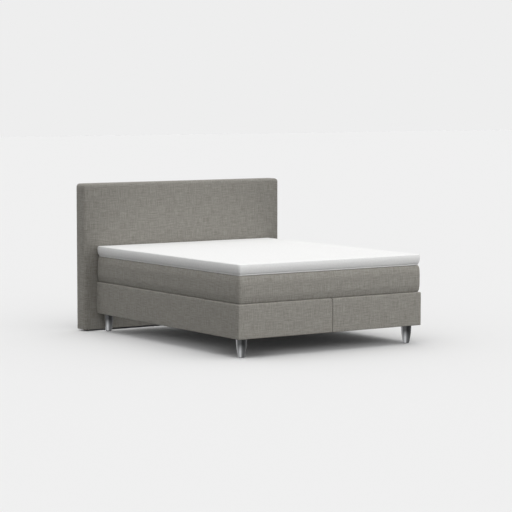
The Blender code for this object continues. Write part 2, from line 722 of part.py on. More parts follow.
HEADBOARD_GLIDE_Y = WALL_Y - (HEADBOARD_FRAME_FRONT + HEADBOARD_FRAME_BACK) / 2


def headboard_holes(piece):
    """The bolt holes from the front, which meet a piece behind the brackets."""
    bolt_z = HARDWARE_Z - HEADBOARD_BOLT_DROP
    ends = []
    for side in SIDES.values():
        x = side * BRACKET_INSET
        ends.append(((x, HEADBOARD_Y - HOLE_OVERRUN, bolt_z), (x, HEADBOARD_BOLT_END_Y + GAP, bolt_z)))
    drill(piece, "bolt_holes", ends, HEADBOARD_BOLT_RADIUS + GAP)


def glide_holes(piece, hands):
    """The holes for the glides' pegs in the underside of a piece."""
    top = HEADBOARD_FRAME_Z + GLIDE_PEG_LENGTH + GAP
    ends = []
    for hand in hands:
        x = SIDES[hand] * (HEADBOARD_FRAME_X - POST_WIDTH / 2)
        ends.append(((x, HEADBOARD_GLIDE_Y, 0.0), (x, HEADBOARD_GLIDE_Y, top)))
    drill(piece, "glide_holes", ends, GLIDE_PEG_RADIUS + GAP)


def headboard_frame():
    """Posts and rails of timber with a hardboard facing."""
    back_y = WALL_Y - HEADBOARD_FRAME_BACK
    front_y = WALL_Y - HEADBOARD_FRAME_FRONT
    inner_x = HEADBOARD_FRAME_X - POST_WIDTH
    for hand, side in SIDES.items():
        title = f"headboard_{hand}_post"
        left, right = sorted((side * inner_x, side * HEADBOARD_FRAME_X))
        board = box((left, front_y, HEADBOARD_FRAME_Z), (right, back_y, HEADBOARD_FRAME_TOP_Z))
        glide_holes(add(title, mesh_of(title, board), TIMBER), [hand])
    rail_x = inner_x - GAP
    levels = {
        "headboard_top_rail": (HEADBOARD_FRAME_TOP_Z - TOP_RAIL_HEIGHT, HEADBOARD_FRAME_TOP_Z),
        "headboard_bottom_rail": (HEADBOARD_FRAME_Z, HEADBOARD_FRAME_Z + BOTTOM_RAIL_HEIGHT),
    }
    rails = {}
    for title, (low, high) in levels.items():
        board = box((-rail_x, front_y, low), (rail_x, back_y, high))
        rails[title] = add(title, mesh_of(title, board), TIMBER)
    headboard_holes(rails["headboard_bottom_rail"])
    facing = box((-HEADBOARD_FRAME_X, WALL_Y - FACING_FRONT, HEADBOARD_FRAME_Z),
                 (HEADBOARD_FRAME_X, front_y - GAP, HEADBOARD_FRAME_TOP_Z))
    headboard_holes(add("headboard_facing", mesh_of("headboard_facing", facing), HARDBOARD))


def headboard_upholstery():
    """Foam over the front and edges, the cover pulled over it, and the back cloth."""
    plan = Plan((-HEADBOARD_WIDTH / 2, HEADBOARD_BOTTOM_Z), (HEADBOARD_WIDTH / 2, HEADBOARD_HEIGHT),
                HEADBOARD_CORNER_RADIUS, facing_foot, low_corner=FRAME_INSET)
    outer = with_sill(padded_side(0, 0, HEADBOARD_DEPTH, COVER_WALL, HEADBOARD_FRONT_RADIUS), 0)
    inner = with_sill(padded_side(COVER_WALL, COVER_WALL, HEADBOARD_DEPTH - COVER_WALL, 0,
                                  HEADBOARD_FRONT_RADIUS - COVER_WALL), COVER_WALL)
    shell = case(plan, outer, inner, HEADBOARD_BACK_LIP, 0.0, COVER_WALL)
    cover = add("headboard_cover", mesh_of("headboard_cover", shell, smooth=True), GREY_FABRIC)
    headboard_holes(cover)
    glide_holes(cover, SIDES)

    foam_inset = COVER_WALL + GAP
    foam_side = padded_side(foam_inset, HEADBOARD_FRAME_BACK, FOAM_FRONT, 0,
                            HEADBOARD_FRONT_RADIUS - foam_inset)
    cavity = Plan((-HEADBOARD_FRAME_X - GAP, HEADBOARD_FRAME_Z - GAP),
                  (HEADBOARD_FRAME_X + GAP, HEADBOARD_FRAME_TOP_Z + GAP), GAP, facing_foot)
    rings = plan.rings(with_sill(foam_side, foam_inset))
    rings += cavity.rings([(0, HEADBOARD_FRAME_BACK), (0, FACING_FRONT + GAP)])
    foam = add("headboard_foam", mesh_of("headboard_foam", loft(rings), smooth=True), FOAM)
    headboard_holes(foam)
    glide_holes(foam, SIDES)

    cloth = sheet(plan, HEADBOARD_BACK_LIP + GAP, COVER_WALL - LINING, COVER_WALL)
    add("headboard_back_cloth", mesh_of("headboard_back_cloth", cloth), LINING_CLOTH)


def headboard_glides():
    """Glides under the posts."""
    peg_length = HEADBOARD_FRAME_Z - HEADBOARD_GLIDE_HEIGHT + GLIDE_PEG_LENGTH
    mesh = glide_mesh("headboard_glide", HEADBOARD_GLIDE_RADIUS, HEADBOARD_GLIDE_HEIGHT, peg_length)
    for hand, side in SIDES.items():
        x = side * (HEADBOARD_FRAME_X - POST_WIDTH / 2)
        add(f"headboard_{hand}_glide", mesh, BLACK_PLASTIC, (x, HEADBOARD_GLIDE_Y, 0.0))


# Mattress and topper, each on the empty along which it is lifted off

def mattress():
    """Pocket springs between two sheets of foam, in a sewn cover of the bed's own fabric."""
    lift = pivot("mattress_lift", (0.0, MIDDLE_Y, MATTRESS_Z))
    top = MATTRESS_Z + MATTRESS_HEIGHT
    wall = MATTRESS_COVER_WALL
    plan = Plan((-MATTRESS_WIDTH / 2, FOOT_Y), (MATTRESS_WIDTH / 2, HEAD_Y), MATTRESS_CORNER_RADIUS)
    outer = padded_side(0, MATTRESS_Z, top, MATTRESS_EDGE_RADIUS, MATTRESS_EDGE_RADIUS, MATTRESS_BULGE)
    inner_radius = MATTRESS_EDGE_RADIUS - wall
    inner = padded_side(wall, MATTRESS_Z + wall, top - wall, inner_radius, inner_radius, MATTRESS_BULGE)
    shell = case(plan, outer, inner, MATTRESS_LIP, MATTRESS_Z, wall)
    add("mattress_cover", mesh_of("mattress_cover", shell, smooth=True), GREY_FABRIC, parent=lift)
    underside = sheet(plan, MATTRESS_LIP + GAP, MATTRESS_Z, MATTRESS_Z + wall)
    add("mattress_underside", mesh_of("mattress_underside", underside), LINING_CLOTH, parent=lift)

    foam_inset = wall + GAP + MATTRESS_BULGE
    foam_radius = inner_radius - GAP
    foam_low = MATTRESS_Z + wall + GAP
    foam_high = top - wall - GAP
    springs_low = foam_low + MATTRESS_FOAM + GAP
    springs_high = foam_high - MATTRESS_FOAM - GAP
    lower = loft(plan.rings(padded_side(foam_inset, foam_low, springs_low - GAP, foam_radius, 0)))
    upper = loft(plan.rings(padded_side(foam_inset, springs_high + GAP, foam_high, 0, foam_radius)))
    add("mattress_lower_foam", mesh_of("mattress_lower_foam", lower, smooth=True), FOAM, parent=lift)
    add("mattress_upper_foam", mesh_of("mattress_upper_foam", upper, smooth=True), FOAM, parent=lift)
    well_x = MATTRESS_WIDTH / 2 - foam_inset
    spring_block("mattress_springs", (-well_x, FOOT_Y + foam_inset), (well_x, HEAD_Y - foam_inset),
                 springs_low, springs_high, parent=lift)
    return lift


def topper(carrier):
    """A foam core in a white knitted cover, loose on the mattress."""
    lift = pivot("topper_lift", (0.0, MIDDLE_Y, TOPPER_Z), carrier)
    edge_top = TOPPER_Z + TOPPER_HEIGHT - TOPPER_CROWN
    wall = TOPPER_COVER_WALL
    plan = Plan((-MATTRESS_WIDTH / 2, FOOT_Y), (MATTRESS_WIDTH / 2, HEAD_Y), TOPPER_CORNER_RADIUS)
    outer = crown(TOPPER_BULGE + TOPPER_EDGE_RADIUS, edge_top, TOPPER_CROWN, MATTRESS_WIDTH / 2)
    outer += padded_side(0, TOPPER_Z, edge_top, TOPPER_EDGE_RADIUS, TOPPER_EDGE_RADIUS, TOPPER_BULGE)
    inner_radius = TOPPER_EDGE_RADIUS - wall
    inner = padded_side(wall, TOPPER_Z + wall, edge_top - wall, inner_radius, inner_radius, TOPPER_BULGE)
    shell = case(plan, outer, inner, TOPPER_LIP, TOPPER_Z, wall)
    add("topper_cover", mesh_of("topper_cover", shell, smooth=True), WHITE_FABRIC, parent=lift)
    underside = sheet(plan, TOPPER_LIP + GAP, TOPPER_Z, TOPPER_Z + wall)
    add("topper_underside", mesh_of("topper_underside", underside), WHITE_FABRIC, parent=lift)
    core_inset = wall + GAP + TOPPER_BULGE
    core_radius = inner_radius - GAP
    core = loft(plan.rings(padded_side(core_inset, TOPPER_Z + wall + GAP, edge_top - wall - GAP,
                                       core_radius, core_radius)))
    add("topper_core", mesh_of("topper_core", core, smooth=True), FOAM, parent=lift)


for hand_name, hand_side in SIDES.items():
    base(hand_name, hand_side)
legs()
support_leg()
base_links()
headboard_fastenings()
headboard_frame()
headboard_upholstery()
headboard_glides()
topper(mattress())
bpy.context.view_layer.update()
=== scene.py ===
"""Looks of a box spring bed: two box bases on turned legs, an upholstered headboard, a mattress and a
loose topper, in the order in which they are put together, and the studio they stand in."""

import math

import bmesh
import bpy
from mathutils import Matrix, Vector, noise


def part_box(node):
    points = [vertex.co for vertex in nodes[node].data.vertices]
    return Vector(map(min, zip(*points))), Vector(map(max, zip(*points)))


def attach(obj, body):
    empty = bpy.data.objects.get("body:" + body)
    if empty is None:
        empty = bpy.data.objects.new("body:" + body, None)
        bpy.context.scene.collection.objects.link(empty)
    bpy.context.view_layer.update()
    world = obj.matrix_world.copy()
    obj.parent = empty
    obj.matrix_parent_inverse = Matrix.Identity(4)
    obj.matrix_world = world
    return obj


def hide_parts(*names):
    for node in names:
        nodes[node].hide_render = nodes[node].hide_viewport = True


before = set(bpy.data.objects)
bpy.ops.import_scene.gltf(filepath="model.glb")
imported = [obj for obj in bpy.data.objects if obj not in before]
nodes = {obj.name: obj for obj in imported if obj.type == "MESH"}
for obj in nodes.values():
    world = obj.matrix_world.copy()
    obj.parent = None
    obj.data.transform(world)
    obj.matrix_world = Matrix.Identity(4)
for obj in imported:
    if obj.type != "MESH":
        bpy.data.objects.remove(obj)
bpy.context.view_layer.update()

scene = bpy.context.scene

# The studio. A pale floor runs on without an end, the light comes mostly from above, and one lamp at the
# front right leaves the shadow of the bed on the headboard. Weak strip lamps light the floor under the
# edges of the bed and the foot of the headboard.

STUDIO_PAPER = "#eeeeee"
FLOOR_SHADE = "#5a5a5a"
FLOOR_REACH = 60.0
EYE = (-8.213, -12.38165, 1.841)
EYE_YAW = math.radians(33.73)
EYE_PITCH = math.radians(4.7513)
EYE_LENS = 139.36
EYE_FILM = 36.0
EYE_SHIFT = -0.0005
SIDE_LAMP_TOWARDS = (0.19, -0.28, 0.157)
SIDE_LAMP_STRENGTH = 1.17
SIDE_LAMP_SPREAD = math.radians(9)
HEADBOARD_SHARE = 0.14
STRIP_WIDTH = 1.6
STRIP_HEIGHT = 0.130


def linear(hex_colour):
    """A hex sRGB colour as linear red, green, blue and alpha."""
    shares = [int(hex_colour[place:place + 2], 16) / 255 for place in (1, 3, 5)]
    return (*[s / 12.92 if s <= 0.04045 else ((s + 0.055) / 1.055) ** 2.4 for s in shares], 1.0)


def feed(tree, node, inputs):
    """Fills a node's inputs: each takes a value, an output, or a node, for that node's first output."""
    for socket, value in inputs.items():
        if isinstance(value, bpy.types.Node):
            value = value.outputs[0]
        if isinstance(value, bpy.types.NodeSocket):
            tree.links.new(value, node.inputs[socket])
        else:
            node.inputs[socket].default_value = value


def add_node(tree, kind, inputs=None, **settings):
    """Adds a node to a tree, with its settings and its inputs."""
    node = tree.nodes.new(kind)
    for setting, value in settings.items():
        setattr(node, setting, value)
    feed(tree, node, inputs or {})
    return node


def seen_by(tree, *rays):
    """1 for what such rays see, such as the camera's own or those off a mirror, and 0 for the rest."""
    ray = add_node(tree, "ShaderNodeLightPath").outputs
    seen = ray[f"Is {rays[0]} Ray"]
    for other in rays[1:]:
        seen = add_node(tree, "ShaderNodeMath", {0: seen, 1: ray[f"Is {other} Ray"]}, operation="MAXIMUM")
    return seen


def place_in_scene(name, data):
    """An object of some data at the origin."""
    piece = bpy.data.objects.new(name, data)
    scene.collection.objects.link(piece)
    return piece


camera = place_in_scene("camera", bpy.data.cameras.new("camera"))
camera.data.lens = EYE_LENS
camera.data.shift_x = EYE_SHIFT
camera.data.sensor_width = EYE_FILM
camera.data.clip_end = 4 * FLOOR_REACH
camera.location = EYE
camera.rotation_euler = (math.pi / 2 - EYE_PITCH, 0.0, -EYE_YAW)
scene.camera = camera
scene.view_settings.view_transform = "Standard"

floor_mesh = bpy.data.meshes.new("floor")
floor_corners = [(a * FLOOR_REACH, b * FLOOR_REACH, 0.0) for a, b in ((-1, -1), (1, -1), (1, 1), (-1, 1))]
floor_mesh.from_pydata(floor_corners, [], [(0, 1, 2, 3)])
floor = place_in_scene("floor", floor_mesh)
floor_paint = bpy.data.materials.new("matt_floor_paint")
floor_paint.use_nodes = True
tree = floor_paint.node_tree
floor_shader = tree.nodes["Principled BSDF"]
floor_colour = add_node(tree, "ShaderNodeMix", {
    0: seen_by(tree, "Camera", "Transmission"), 6: linear(FLOOR_SHADE), 7: linear(STUDIO_PAPER)},
    data_type="RGBA")
feed(tree, floor_shader, {"Base Color": floor_colour.outputs[2], "Roughness": 1.0, "Specular IOR Level": 0.0})
mirrored_floor = add_node(tree, "ShaderNodeBsdfTransparent")
floor_or_studio = add_node(tree, "ShaderNodeMixShader", {
    0: seen_by(tree, "Glossy"), 1: floor_shader, 2: mirrored_floor})
feed(tree, tree.nodes["Material Output"], {"Surface": floor_or_studio})
floor_mesh.materials.append(floor_paint)


def new_lamp(name, kind, energy):
    """A lamp with a list of receivers, so that it can be kept off a piece or on one alone."""
    data = bpy.data.lights.new(name, kind)
    data.energy = energy
    lamp = place_in_scene(name, data)
    lamp.light_linking.receiver_collection = bpy.data.collections.new(f"{name}_receivers")
    return lamp


def link_light(lamp, piece, state):
    """With EXCLUDE a flag keeps a lamp off a piece; with INCLUDE the lamp lights that piece alone."""
    receivers = lamp.light_linking.receiver_collection
    receivers.objects.link(piece)
    receivers.collection_objects[-1].light_linking.link_state = state


def side_lamp(name, strength):
    """A lamp at the front right, so far off that its rays are nearly parallel."""
    lamp = new_lamp(name, "SUN", strength)
    lamp.data.angle = SIDE_LAMP_SPREAD
    lamp.rotation_euler = Vector(SIDE_LAMP_TOWARDS).to_track_quat("Z", "Y").to_euler()
    return lamp


def strip_lamp(name, middle, size, tilt, strength):
    """A weak lamp under the bed, tilted about X from straight down; cameras and mirrors miss it."""
    lamp = new_lamp(name, "AREA", strength * math.pi * size[0] * size[1])
    lamp.data.shape = "RECTANGLE"
    lamp.data.size, lamp.data.size_y = size
    lamp.location = middle
    lamp.rotation_euler = (math.radians(tilt), 0.0, 0.0)
    lamp.visible_camera = False
    lamp.visible_glossy = False
    return lamp


bed_lamp = side_lamp("side_lamp_on_the_bed", SIDE_LAMP_STRENGTH)
headboard_lamp = side_lamp("side_lamp_on_the_headboard", SIDE_LAMP_STRENGTH * HEADBOARD_SHARE)
link_light(bed_lamp, floor, "EXCLUDE")
for name, middle, size, tilt, strength in (
        ("glow_before_the_headboard", (0.0, 0.940, 0.0665), (STRIP_WIDTH, 0.125), -90, 1.24),
        ("glow_inside_the_foot_edge", (0.12, -0.925, STRIP_HEIGHT), (1.15, 0.16), 0, 0.20),
        ("glow_inside_the_left_edge", (-0.67, 0.0, STRIP_HEIGHT), (0.16, 1.20), 0, 0.16)):
    link_light(strip_lamp(name, middle, size, tilt, strength), floor, "INCLUDE")
headboard_glow = strip_lamp("glow_on_the_headboard", (0.0, 0.760, 0.059), (STRIP_WIDTH, 0.110), 90, 0.9)

# The sky of the studio: white light from all of the upper half, strongest straight above and next along
# the horizon. Cameras see plain paper in its place.

SKY_EVEN = 0.44
SKY_OVERHEAD = 1.56
SKY_HORIZON = 0.86
SKY_FALL_OFF = 4.0

world = bpy.data.worlds.new("studio")
world.use_nodes = True
world.node_tree.nodes.clear()
scene.world = world
tree = world.node_tree
here = add_node(tree, "ShaderNodeTexCoord").outputs["Generated"]
height = add_node(tree, "ShaderNodeSeparateXYZ", {0: here}).outputs[2]
height = add_node(tree, "ShaderNodeMath", {0: height, 1: 0.0}, operation="MAXIMUM")
lowness = add_node(tree, "ShaderNodeMath", {0: 1.0, 1: height}, operation="SUBTRACT")
overhead = add_node(tree, "ShaderNodeMath", {0: height, 1: SKY_FALL_OFF}, operation="POWER")
horizon = add_node(tree, "ShaderNodeMath", {0: lowness, 1: SKY_FALL_OFF}, operation="POWER")
strength = add_node(tree, "ShaderNodeMath", {0: overhead, 1: SKY_OVERHEAD, 2: SKY_EVEN},
                    operation="MULTIPLY_ADD")
strength = add_node(tree, "ShaderNodeMath", {0: horizon, 1: SKY_HORIZON, 2: strength},
                    operation="MULTIPLY_ADD")
sky = add_node(tree, "ShaderNodeBackground", {"Color": linear("#ffffff"), "Strength": strength})
paper = add_node(tree, "ShaderNodeBackground", {"Color": linear(STUDIO_PAPER), "Strength": 1.0})

# What mirrors see below the horizon: the lit floor near the bed, for rays that drop steeply, and the
# darker walls of the studio farther off. Each is a list of shades at shares of a turn, which starts
# behind the bed and passes its right side.

MIRRORED_FAR = ((0.0, 0.3), (0.24, 0.14), (0.35, 0.05), (0.43, 0.04), (0.51, 0.024), (0.56, 0.05),
                (0.63, 0.11), (0.76, 0.115), (0.84, 0.13), (0.95, 0.56), (1.0, 0.3))
MIRRORED_NEAR = ((0.0, 0.3), (0.24, 0.21), (0.35, 0.15), (0.46, 0.13), (0.56, 0.24), (0.64, 0.66),
                 (0.70, 0.68), (0.78, 0.48), (0.90, 0.34), (1.0, 0.3))
FAR_DROP = 0.25
NEAR_DROP = 0.42


def shades_round(tree, turn, shades):
    """A brightness that changes round the bed, from one of the lists above."""
    ramp = add_node(tree, "ShaderNodeValToRGB", {"Fac": turn})
    ramp.color_ramp.elements[1].position = shades[-1][0]
    for place, shade in shades[1:-1]:
        ramp.color_ramp.elements.new(place)
    for element, (place, shade) in zip(ramp.color_ramp.elements, shades):
        element.color = (shade, shade, shade, 1.0)
    return ramp


behind = add_node(tree, "ShaderNodeVectorMath", {0: here, "Scale": -1.0}, operation="SCALE")
parts = add_node(tree, "ShaderNodeSeparateXYZ", {0: behind}).outputs
turn = add_node(tree, "ShaderNodeMath", {0: parts[0], 1: parts[1]}, operation="ARCTAN2")
turn = add_node(tree, "ShaderNodeMapRange", {0: turn, 1: -math.pi, 2: math.pi})
nearness = add_node(tree, "ShaderNodeMapRange", {0: parts[2], 1: FAR_DROP, 2: NEAR_DROP})
mirrored = add_node(tree, "ShaderNodeMix", {
    0: nearness, 6: shades_round(tree, turn, MIRRORED_FAR), 7: shades_round(tree, turn, MIRRORED_NEAR)},
    data_type="RGBA")
above = add_node(tree, "ShaderNodeMath", {0: parts[2], 1: 0.0}, operation="LESS_THAN")
mirrored = add_node(tree, "ShaderNodeMix", {0: above, 6: mirrored.outputs[2], 7: strength}, data_type="RGBA")
mirrored = add_node(tree, "ShaderNodeBackground", {"Color": mirrored.outputs[2], "Strength": 1.0})
lit_or_mirrored = add_node(tree, "ShaderNodeMixShader", {0: seen_by(tree, "Glossy"), 1: sky, 2: mirrored})
studio = add_node(tree, "ShaderNodeMixShader", {
    0: seen_by(tree, "Camera", "Transmission"), 1: lit_or_mirrored, 2: paper})
add_node(tree, "ShaderNodeOutputWorld", {"Surface": studio})

# Frames of the two box bases: four upright boards each, seven slats on two ledgers and four blocks
# for the legs, all of planed spruce. They are glued and stapled, and hidden by the upholstery.

SPRUCE_LIGHT = "#d3b078"
SPRUCE_DARK = "#b58a55"
GRAIN_WIDTH = 0.005
GRAIN_LENGTH = 0.35
GRAIN_RELIEF = 0.0003


def new_finish(name, constants):
    """A node material with one Principled shader; returns it with its tree and its shader."""
    material = bpy.data.materials.new(name)
    material.use_nodes = True
    shader = material.node_tree.nodes["Principled BSDF"]
    feed(material.node_tree, shader, constants)
    return material, material.node_tree, shader


def between(tree, factor, low, high):
    """A colour between two hex colours, by a factor."""
    mixed = add_node(tree, "ShaderNodeMix", {0: factor, 6: linear(low), 7: linear(high)}, data_type="RGBA")
    return mixed.outputs[2]


def raise_surface(tree, shader, height, depth, strength=1.0):
    """Gives a shader a bump of so many metres."""
    bump = add_node(tree, "ShaderNodeBump", {"Strength": strength, "Distance": depth, "Height": height})
    feed(tree, shader, {"Normal": bump})


def planed_spruce(axis):
    """Planed spruce: straight fine grain along one axis, pale early wood with darker late wood."""
    material, tree, shader = new_finish(f"planed_spruce_along_{axis}", {"Roughness": 0.62, "IOR": 1.5})
    here = add_node(tree, "ShaderNodeTexCoord").outputs["Object"]
    stretch = [1 / GRAIN_LENGTH if axis == own else 1 / GRAIN_WIDTH for own in "xyz"]
    place = add_node(tree, "ShaderNodeVectorMath", {0: here, 1: stretch}, operation="MULTIPLY")
    grain = add_node(tree, "ShaderNodeTexNoise", {"Vector": place, "Scale": 1.0, "Detail": 3.0})
    feed(tree, shader, {"Base Color": between(tree, grain, SPRUCE_LIGHT, SPRUCE_DARK)})
    raise_surface(tree, shader, grain, GRAIN_RELIEF)
    return material


def dress(material, *names):
    """Gives CAD nodes a material."""
    for name in names:
        nodes[name].material_slots[0].material = material


HANDS = ("left", "right")
LEG_CORNERS = ("foot_left", "foot_right", "head_left", "head_right")
spruce_across = planed_spruce("x")
spruce_along = planed_spruce("y")
spruce_upright = planed_spruce("z")
for hand in HANDS:
    dress(spruce_across, f"{hand}_base_foot_rail", f"{hand}_base_head_rail", f"{hand}_base_slats")
    dress(spruce_along, f"{hand}_base_inner_rail", f"{hand}_base_outer_rail")
dress(spruce_upright, *[f"{corner}_leg_block" for corner in LEG_CORNERS])

# Springs of the bases, each coil in a pocket of white welded fleece, and the foam sheet over them.
# The pockets are glued side by side into a block that fills the frame.

FLEECE_WHITE = "#dfe0e1"
FLEECE_SHADE = "#c3c5c8"
WELD_SPACING = 0.004
WELD_RIM = (0.18, 0.42)
WELD_RELIEF = 0.0002
FIBRES_PER_METRE = 160.0
FOAM_PALE = "#ead9ae"
FOAM_PAINTED_PIT_SHADE = "#d3bb84"
FOAM_CELL = 0.0015
FOAM_RELIEF = 0.0004


def welded_fleece(name, pale, shade, roughness):
    """Spun and point-welded fleece: matt, with a regular grid of small pressed dots."""
    material, tree, shader = new_finish(name, {"Roughness": roughness, "Specular IOR Level": 0.3})
    here = add_node(tree, "ShaderNodeTexCoord").outputs["Object"]
    dots = add_node(tree, "ShaderNodeTexVoronoi", {
        "Vector": here, "Scale": 1 / WELD_SPACING, "Randomness": 0.0})
    pressed = add_node(tree, "ShaderNodeMapRange", {
        0: dots.outputs["Distance"], 1: WELD_RIM[0], 2: WELD_RIM[1]})
    fibres = add_node(tree, "ShaderNodeTexNoise", {"Vector": here, "Scale": FIBRES_PER_METRE, "Detail": 4.0})
    # The pressed dots take the darker colour in step with their sunken bump: painted shade in their small
    # hollows, times the fibres' random tone.
    tone_and_painted_shade = add_node(tree, "ShaderNodeMath", {0: pressed, 1: fibres}, operation="MULTIPLY")
    feed(tree, shader, {"Base Color": between(tree, tone_and_painted_shade, shade, pale)})
    raise_surface(tree, shader, pressed, WELD_RELIEF, 0.6)
    return material


def cut_foam():
    """Cut polyurethane foam: cream, matt, with the fine open cells of the cut face."""
    material, tree, shader = new_finish("cream_foam", {"Roughness": 0.95, "Specular IOR Level": 0.2})
    here = add_node(tree, "ShaderNodeTexCoord").outputs["Object"]
    cells = add_node(tree, "ShaderNodeTexVoronoi", {"Vector": here, "Scale": 1 / FOAM_CELL})
    depth = cells.outputs["Distance"]
    # Each cell is painted darker towards its middle, where its bump is lowest: painted shade in the pits of
    # the open cells.
    feed(tree, shader, {"Base Color": between(tree, depth, FOAM_PAINTED_PIT_SHADE, FOAM_PALE)})
    raise_surface(tree, shader, depth, FOAM_RELIEF)
    return material


spring_fleece = welded_fleece("white_spring_fleece", FLEECE_WHITE, FLEECE_SHADE, 0.9)
foam = cut_foam()
for hand in HANDS:
    dress(spring_fleece, f"{hand}_base_springs")
    dress(foam, f"{hand}_base_top_pad")

# Covers of the bases: grey melange fabric laminated to thin foam, pulled down over the top pad and
# the rails, turned under and stapled. Top edges are softly round, and corners are folded sharp.

FABRIC_LIGHT = "#a8a59e"
FABRIC_DARK = "#817e77"
THREAD_PITCH = 0.003
THREAD_RELIEF = 0.0004
SLUB_LENGTH = 0.085
SLUB_WIDTH = 0.0060
MOTTLE_SIZE = 0.011
MOTTLE_SHARE = 0.5
WEAVE_PAINTED_SHADE_SHARE = 0.22
TONE_DARKEST = 0.87
TONE_LIGHTEST = 2.09
BASE_TOP_RADIUS = 0.009
BASE_LOW_RADIUS = 0.005
BASE_OUTER_CORNER = 0.0063
BASE_INNER_CORNER = 0.003
BASE_BULGE = 0.0015
BASE_TOP_INSET = 0.030
BASE_LIP = 0.0263
BASE_LIP_EDGE = 0.0008
BASE_LIP_HEIGHT = 0.002
BASE_LIP_END = 0.045
BASE_SWELL = 0.0015
BASE_WAVE = 0.0004
GRID_STEP = 0.040
CORNER_STEPS = 5
MERGE_WITHIN = 0.00002
CREASE_OVER = math.radians(50)
CLOTH_FRAMES = 20
WAVES_PER_METRE = 4.2
RIPPLES_PER_METRE = 13.0
RIPPLE_SHARE = 0.45
RIPPLE_SHIFT = Vector((3.1, 7.7, 1.3))


def woven_upholstery():
    """Plain-woven melange polyester: matt, with light and dark yarns and short slubs both ways.

    The real threads lie about 1.2 mm apart; they are drawn 3 mm apart, so that the weave shows."""
    material, tree, shader = new_finish("grey_upholstery_fabric", {
        "Roughness": 0.92, "Specular IOR Level": 0.2, "Sheen Weight": 0.08, "Sheen Roughness": 0.5})
    place = add_node(tree, "ShaderNodeUVMap", uv_map="weave")
    threads = add_node(tree, "ShaderNodeVectorMath", {0: place, "Scale": 1 / THREAD_PITCH}, operation="SCALE")
    counts = add_node(tree, "ShaderNodeSeparateXYZ", {0: threads}).outputs
    humps = []
    for count in (counts[0], counts[1]):
        turn = add_node(tree, "ShaderNodeMath", {0: count, 1: math.pi}, operation="MULTIPLY")
        wave = add_node(tree, "ShaderNodeMath", {0: turn}, operation="SINE")
        humps.append(add_node(tree, "ShaderNodeMath", {0: wave}, operation="ABSOLUTE"))
    over = add_node(tree, "ShaderNodeTexChecker", {"Vector": threads, "Scale": 1.0}).outputs["Fac"]
    leading = add_node(tree, "ShaderNodeMix", {0: over, 2: humps[0], 3: humps[1]})
    height = add_node(tree, "ShaderNodeMath", {0: humps[0], 1: humps[1], 2: leading},
                      operation="MULTIPLY_ADD")
    slubs = []
    for stretch in ((1 / SLUB_WIDTH, 1 / SLUB_LENGTH, 0.0), (1 / SLUB_LENGTH, 1 / SLUB_WIDTH, 0.0)):
        run = add_node(tree, "ShaderNodeVectorMath", {0: place, 1: stretch}, operation="MULTIPLY")
        slubs.append(add_node(tree, "ShaderNodeTexNoise", {"Vector": run, "Scale": 1.0, "Detail": 1.0},
                              noise_dimensions="2D"))
    yarn = add_node(tree, "ShaderNodeMath", {0: slubs[0], 1: slubs[1]}, operation="ADD")
    mottle = add_node(tree, "ShaderNodeTexNoise", {"Vector": place, "Scale": 1 / MOTTLE_SIZE, "Detail": 1.0},
                      noise_dimensions="2D")
    tone_and_painted_shade = add_node(tree, "ShaderNodeMath", {0: mottle, 1: MOTTLE_SHARE, 2: yarn}, operation="MULTIPLY_ADD")
    # The weave's relief goes into the colour too, lighter on the crests of the threads and darker between
    # them: painted shade.
    tone_and_painted_shade = add_node(tree, "ShaderNodeMath", {0: height, 1: WEAVE_PAINTED_SHADE_SHARE, 2: tone_and_painted_shade}, operation="MULTIPLY_ADD")
    tone_and_painted_shade = add_node(tree, "ShaderNodeMapRange", {0: tone_and_painted_shade, 1: TONE_DARKEST, 2: TONE_LIGHTEST})
    feed(tree, shader, {"Base Color": between(tree, tone_and_painted_shade, FABRIC_DARK, FABRIC_LIGHT)})
    raise_surface(tree, shader, height, THREAD_RELIEF, 0.6)
    return material


def straight(a, b, level):
    """A plan's point and level for a piece that is built up along Z."""
    return (a, b, level)


def edge_arc(inset, level, radius, start, end, steps):
    """Insets and levels round an edge about a centre; angles are in degrees from straight up."""
    turns = [math.radians(start + (end - start) * step / steps) for step in range(steps + 1)]
    return [(inset - radius * math.sin(turn), level + radius * math.cos(turn)) for turn in turns]


def padded_side(low, high, top_radius, low_radius, bulge, rows):
    """Insets and levels down a padded side that is full in the middle and drawn in at its edges."""
    upper, lower = high - top_radius, low + low_radius
    profile = edge_arc(bulge + top_radius, upper, top_radius, 0, 90, 6)
    for row in range(1, rows):
        share = row / rows
        drawn_in = bulge * (1 - math.sin(math.pi * share) ** 0.8)
        profile.append((drawn_in, upper + (lower - upper) * share))
    return profile + edge_arc(bulge + low_radius, lower, low_radius, 90, 180, 5)


def round_plan(low, high, corners, runs):
    """Anticlockwise points of a rectangle, from its upper right corner; each side has its own runs."""
    centres = ((1, 1), (-1, 1), (-1, -1), (1, -1))
    arcs = []
    for quarter, ((side_a, side_b), radius) in enumerate(zip(centres, corners)):
        a = (high[0] - radius) if side_a > 0 else (low[0] + radius)
        b = (high[1] - radius) if side_b > 0 else (low[1] + radius)
        turns = [(quarter + step / CORNER_STEPS) * math.pi / 2 for step in range(CORNER_STEPS + 1)]
        arcs.append([(a + radius * math.cos(turn), b + radius * math.sin(turn)) for turn in turns])
    points = []
    for quarter, arc in enumerate(arcs):
        start, end, count = arc[-1], arcs[(quarter + 1) % 4][0], runs[quarter % 2]
        points += arc
        for step in range(1, count):
            share = step / count
            points.append((start[0] + (end[0] - start[0]) * share, start[1] + (end[1] - start[1]) * share))
    return points


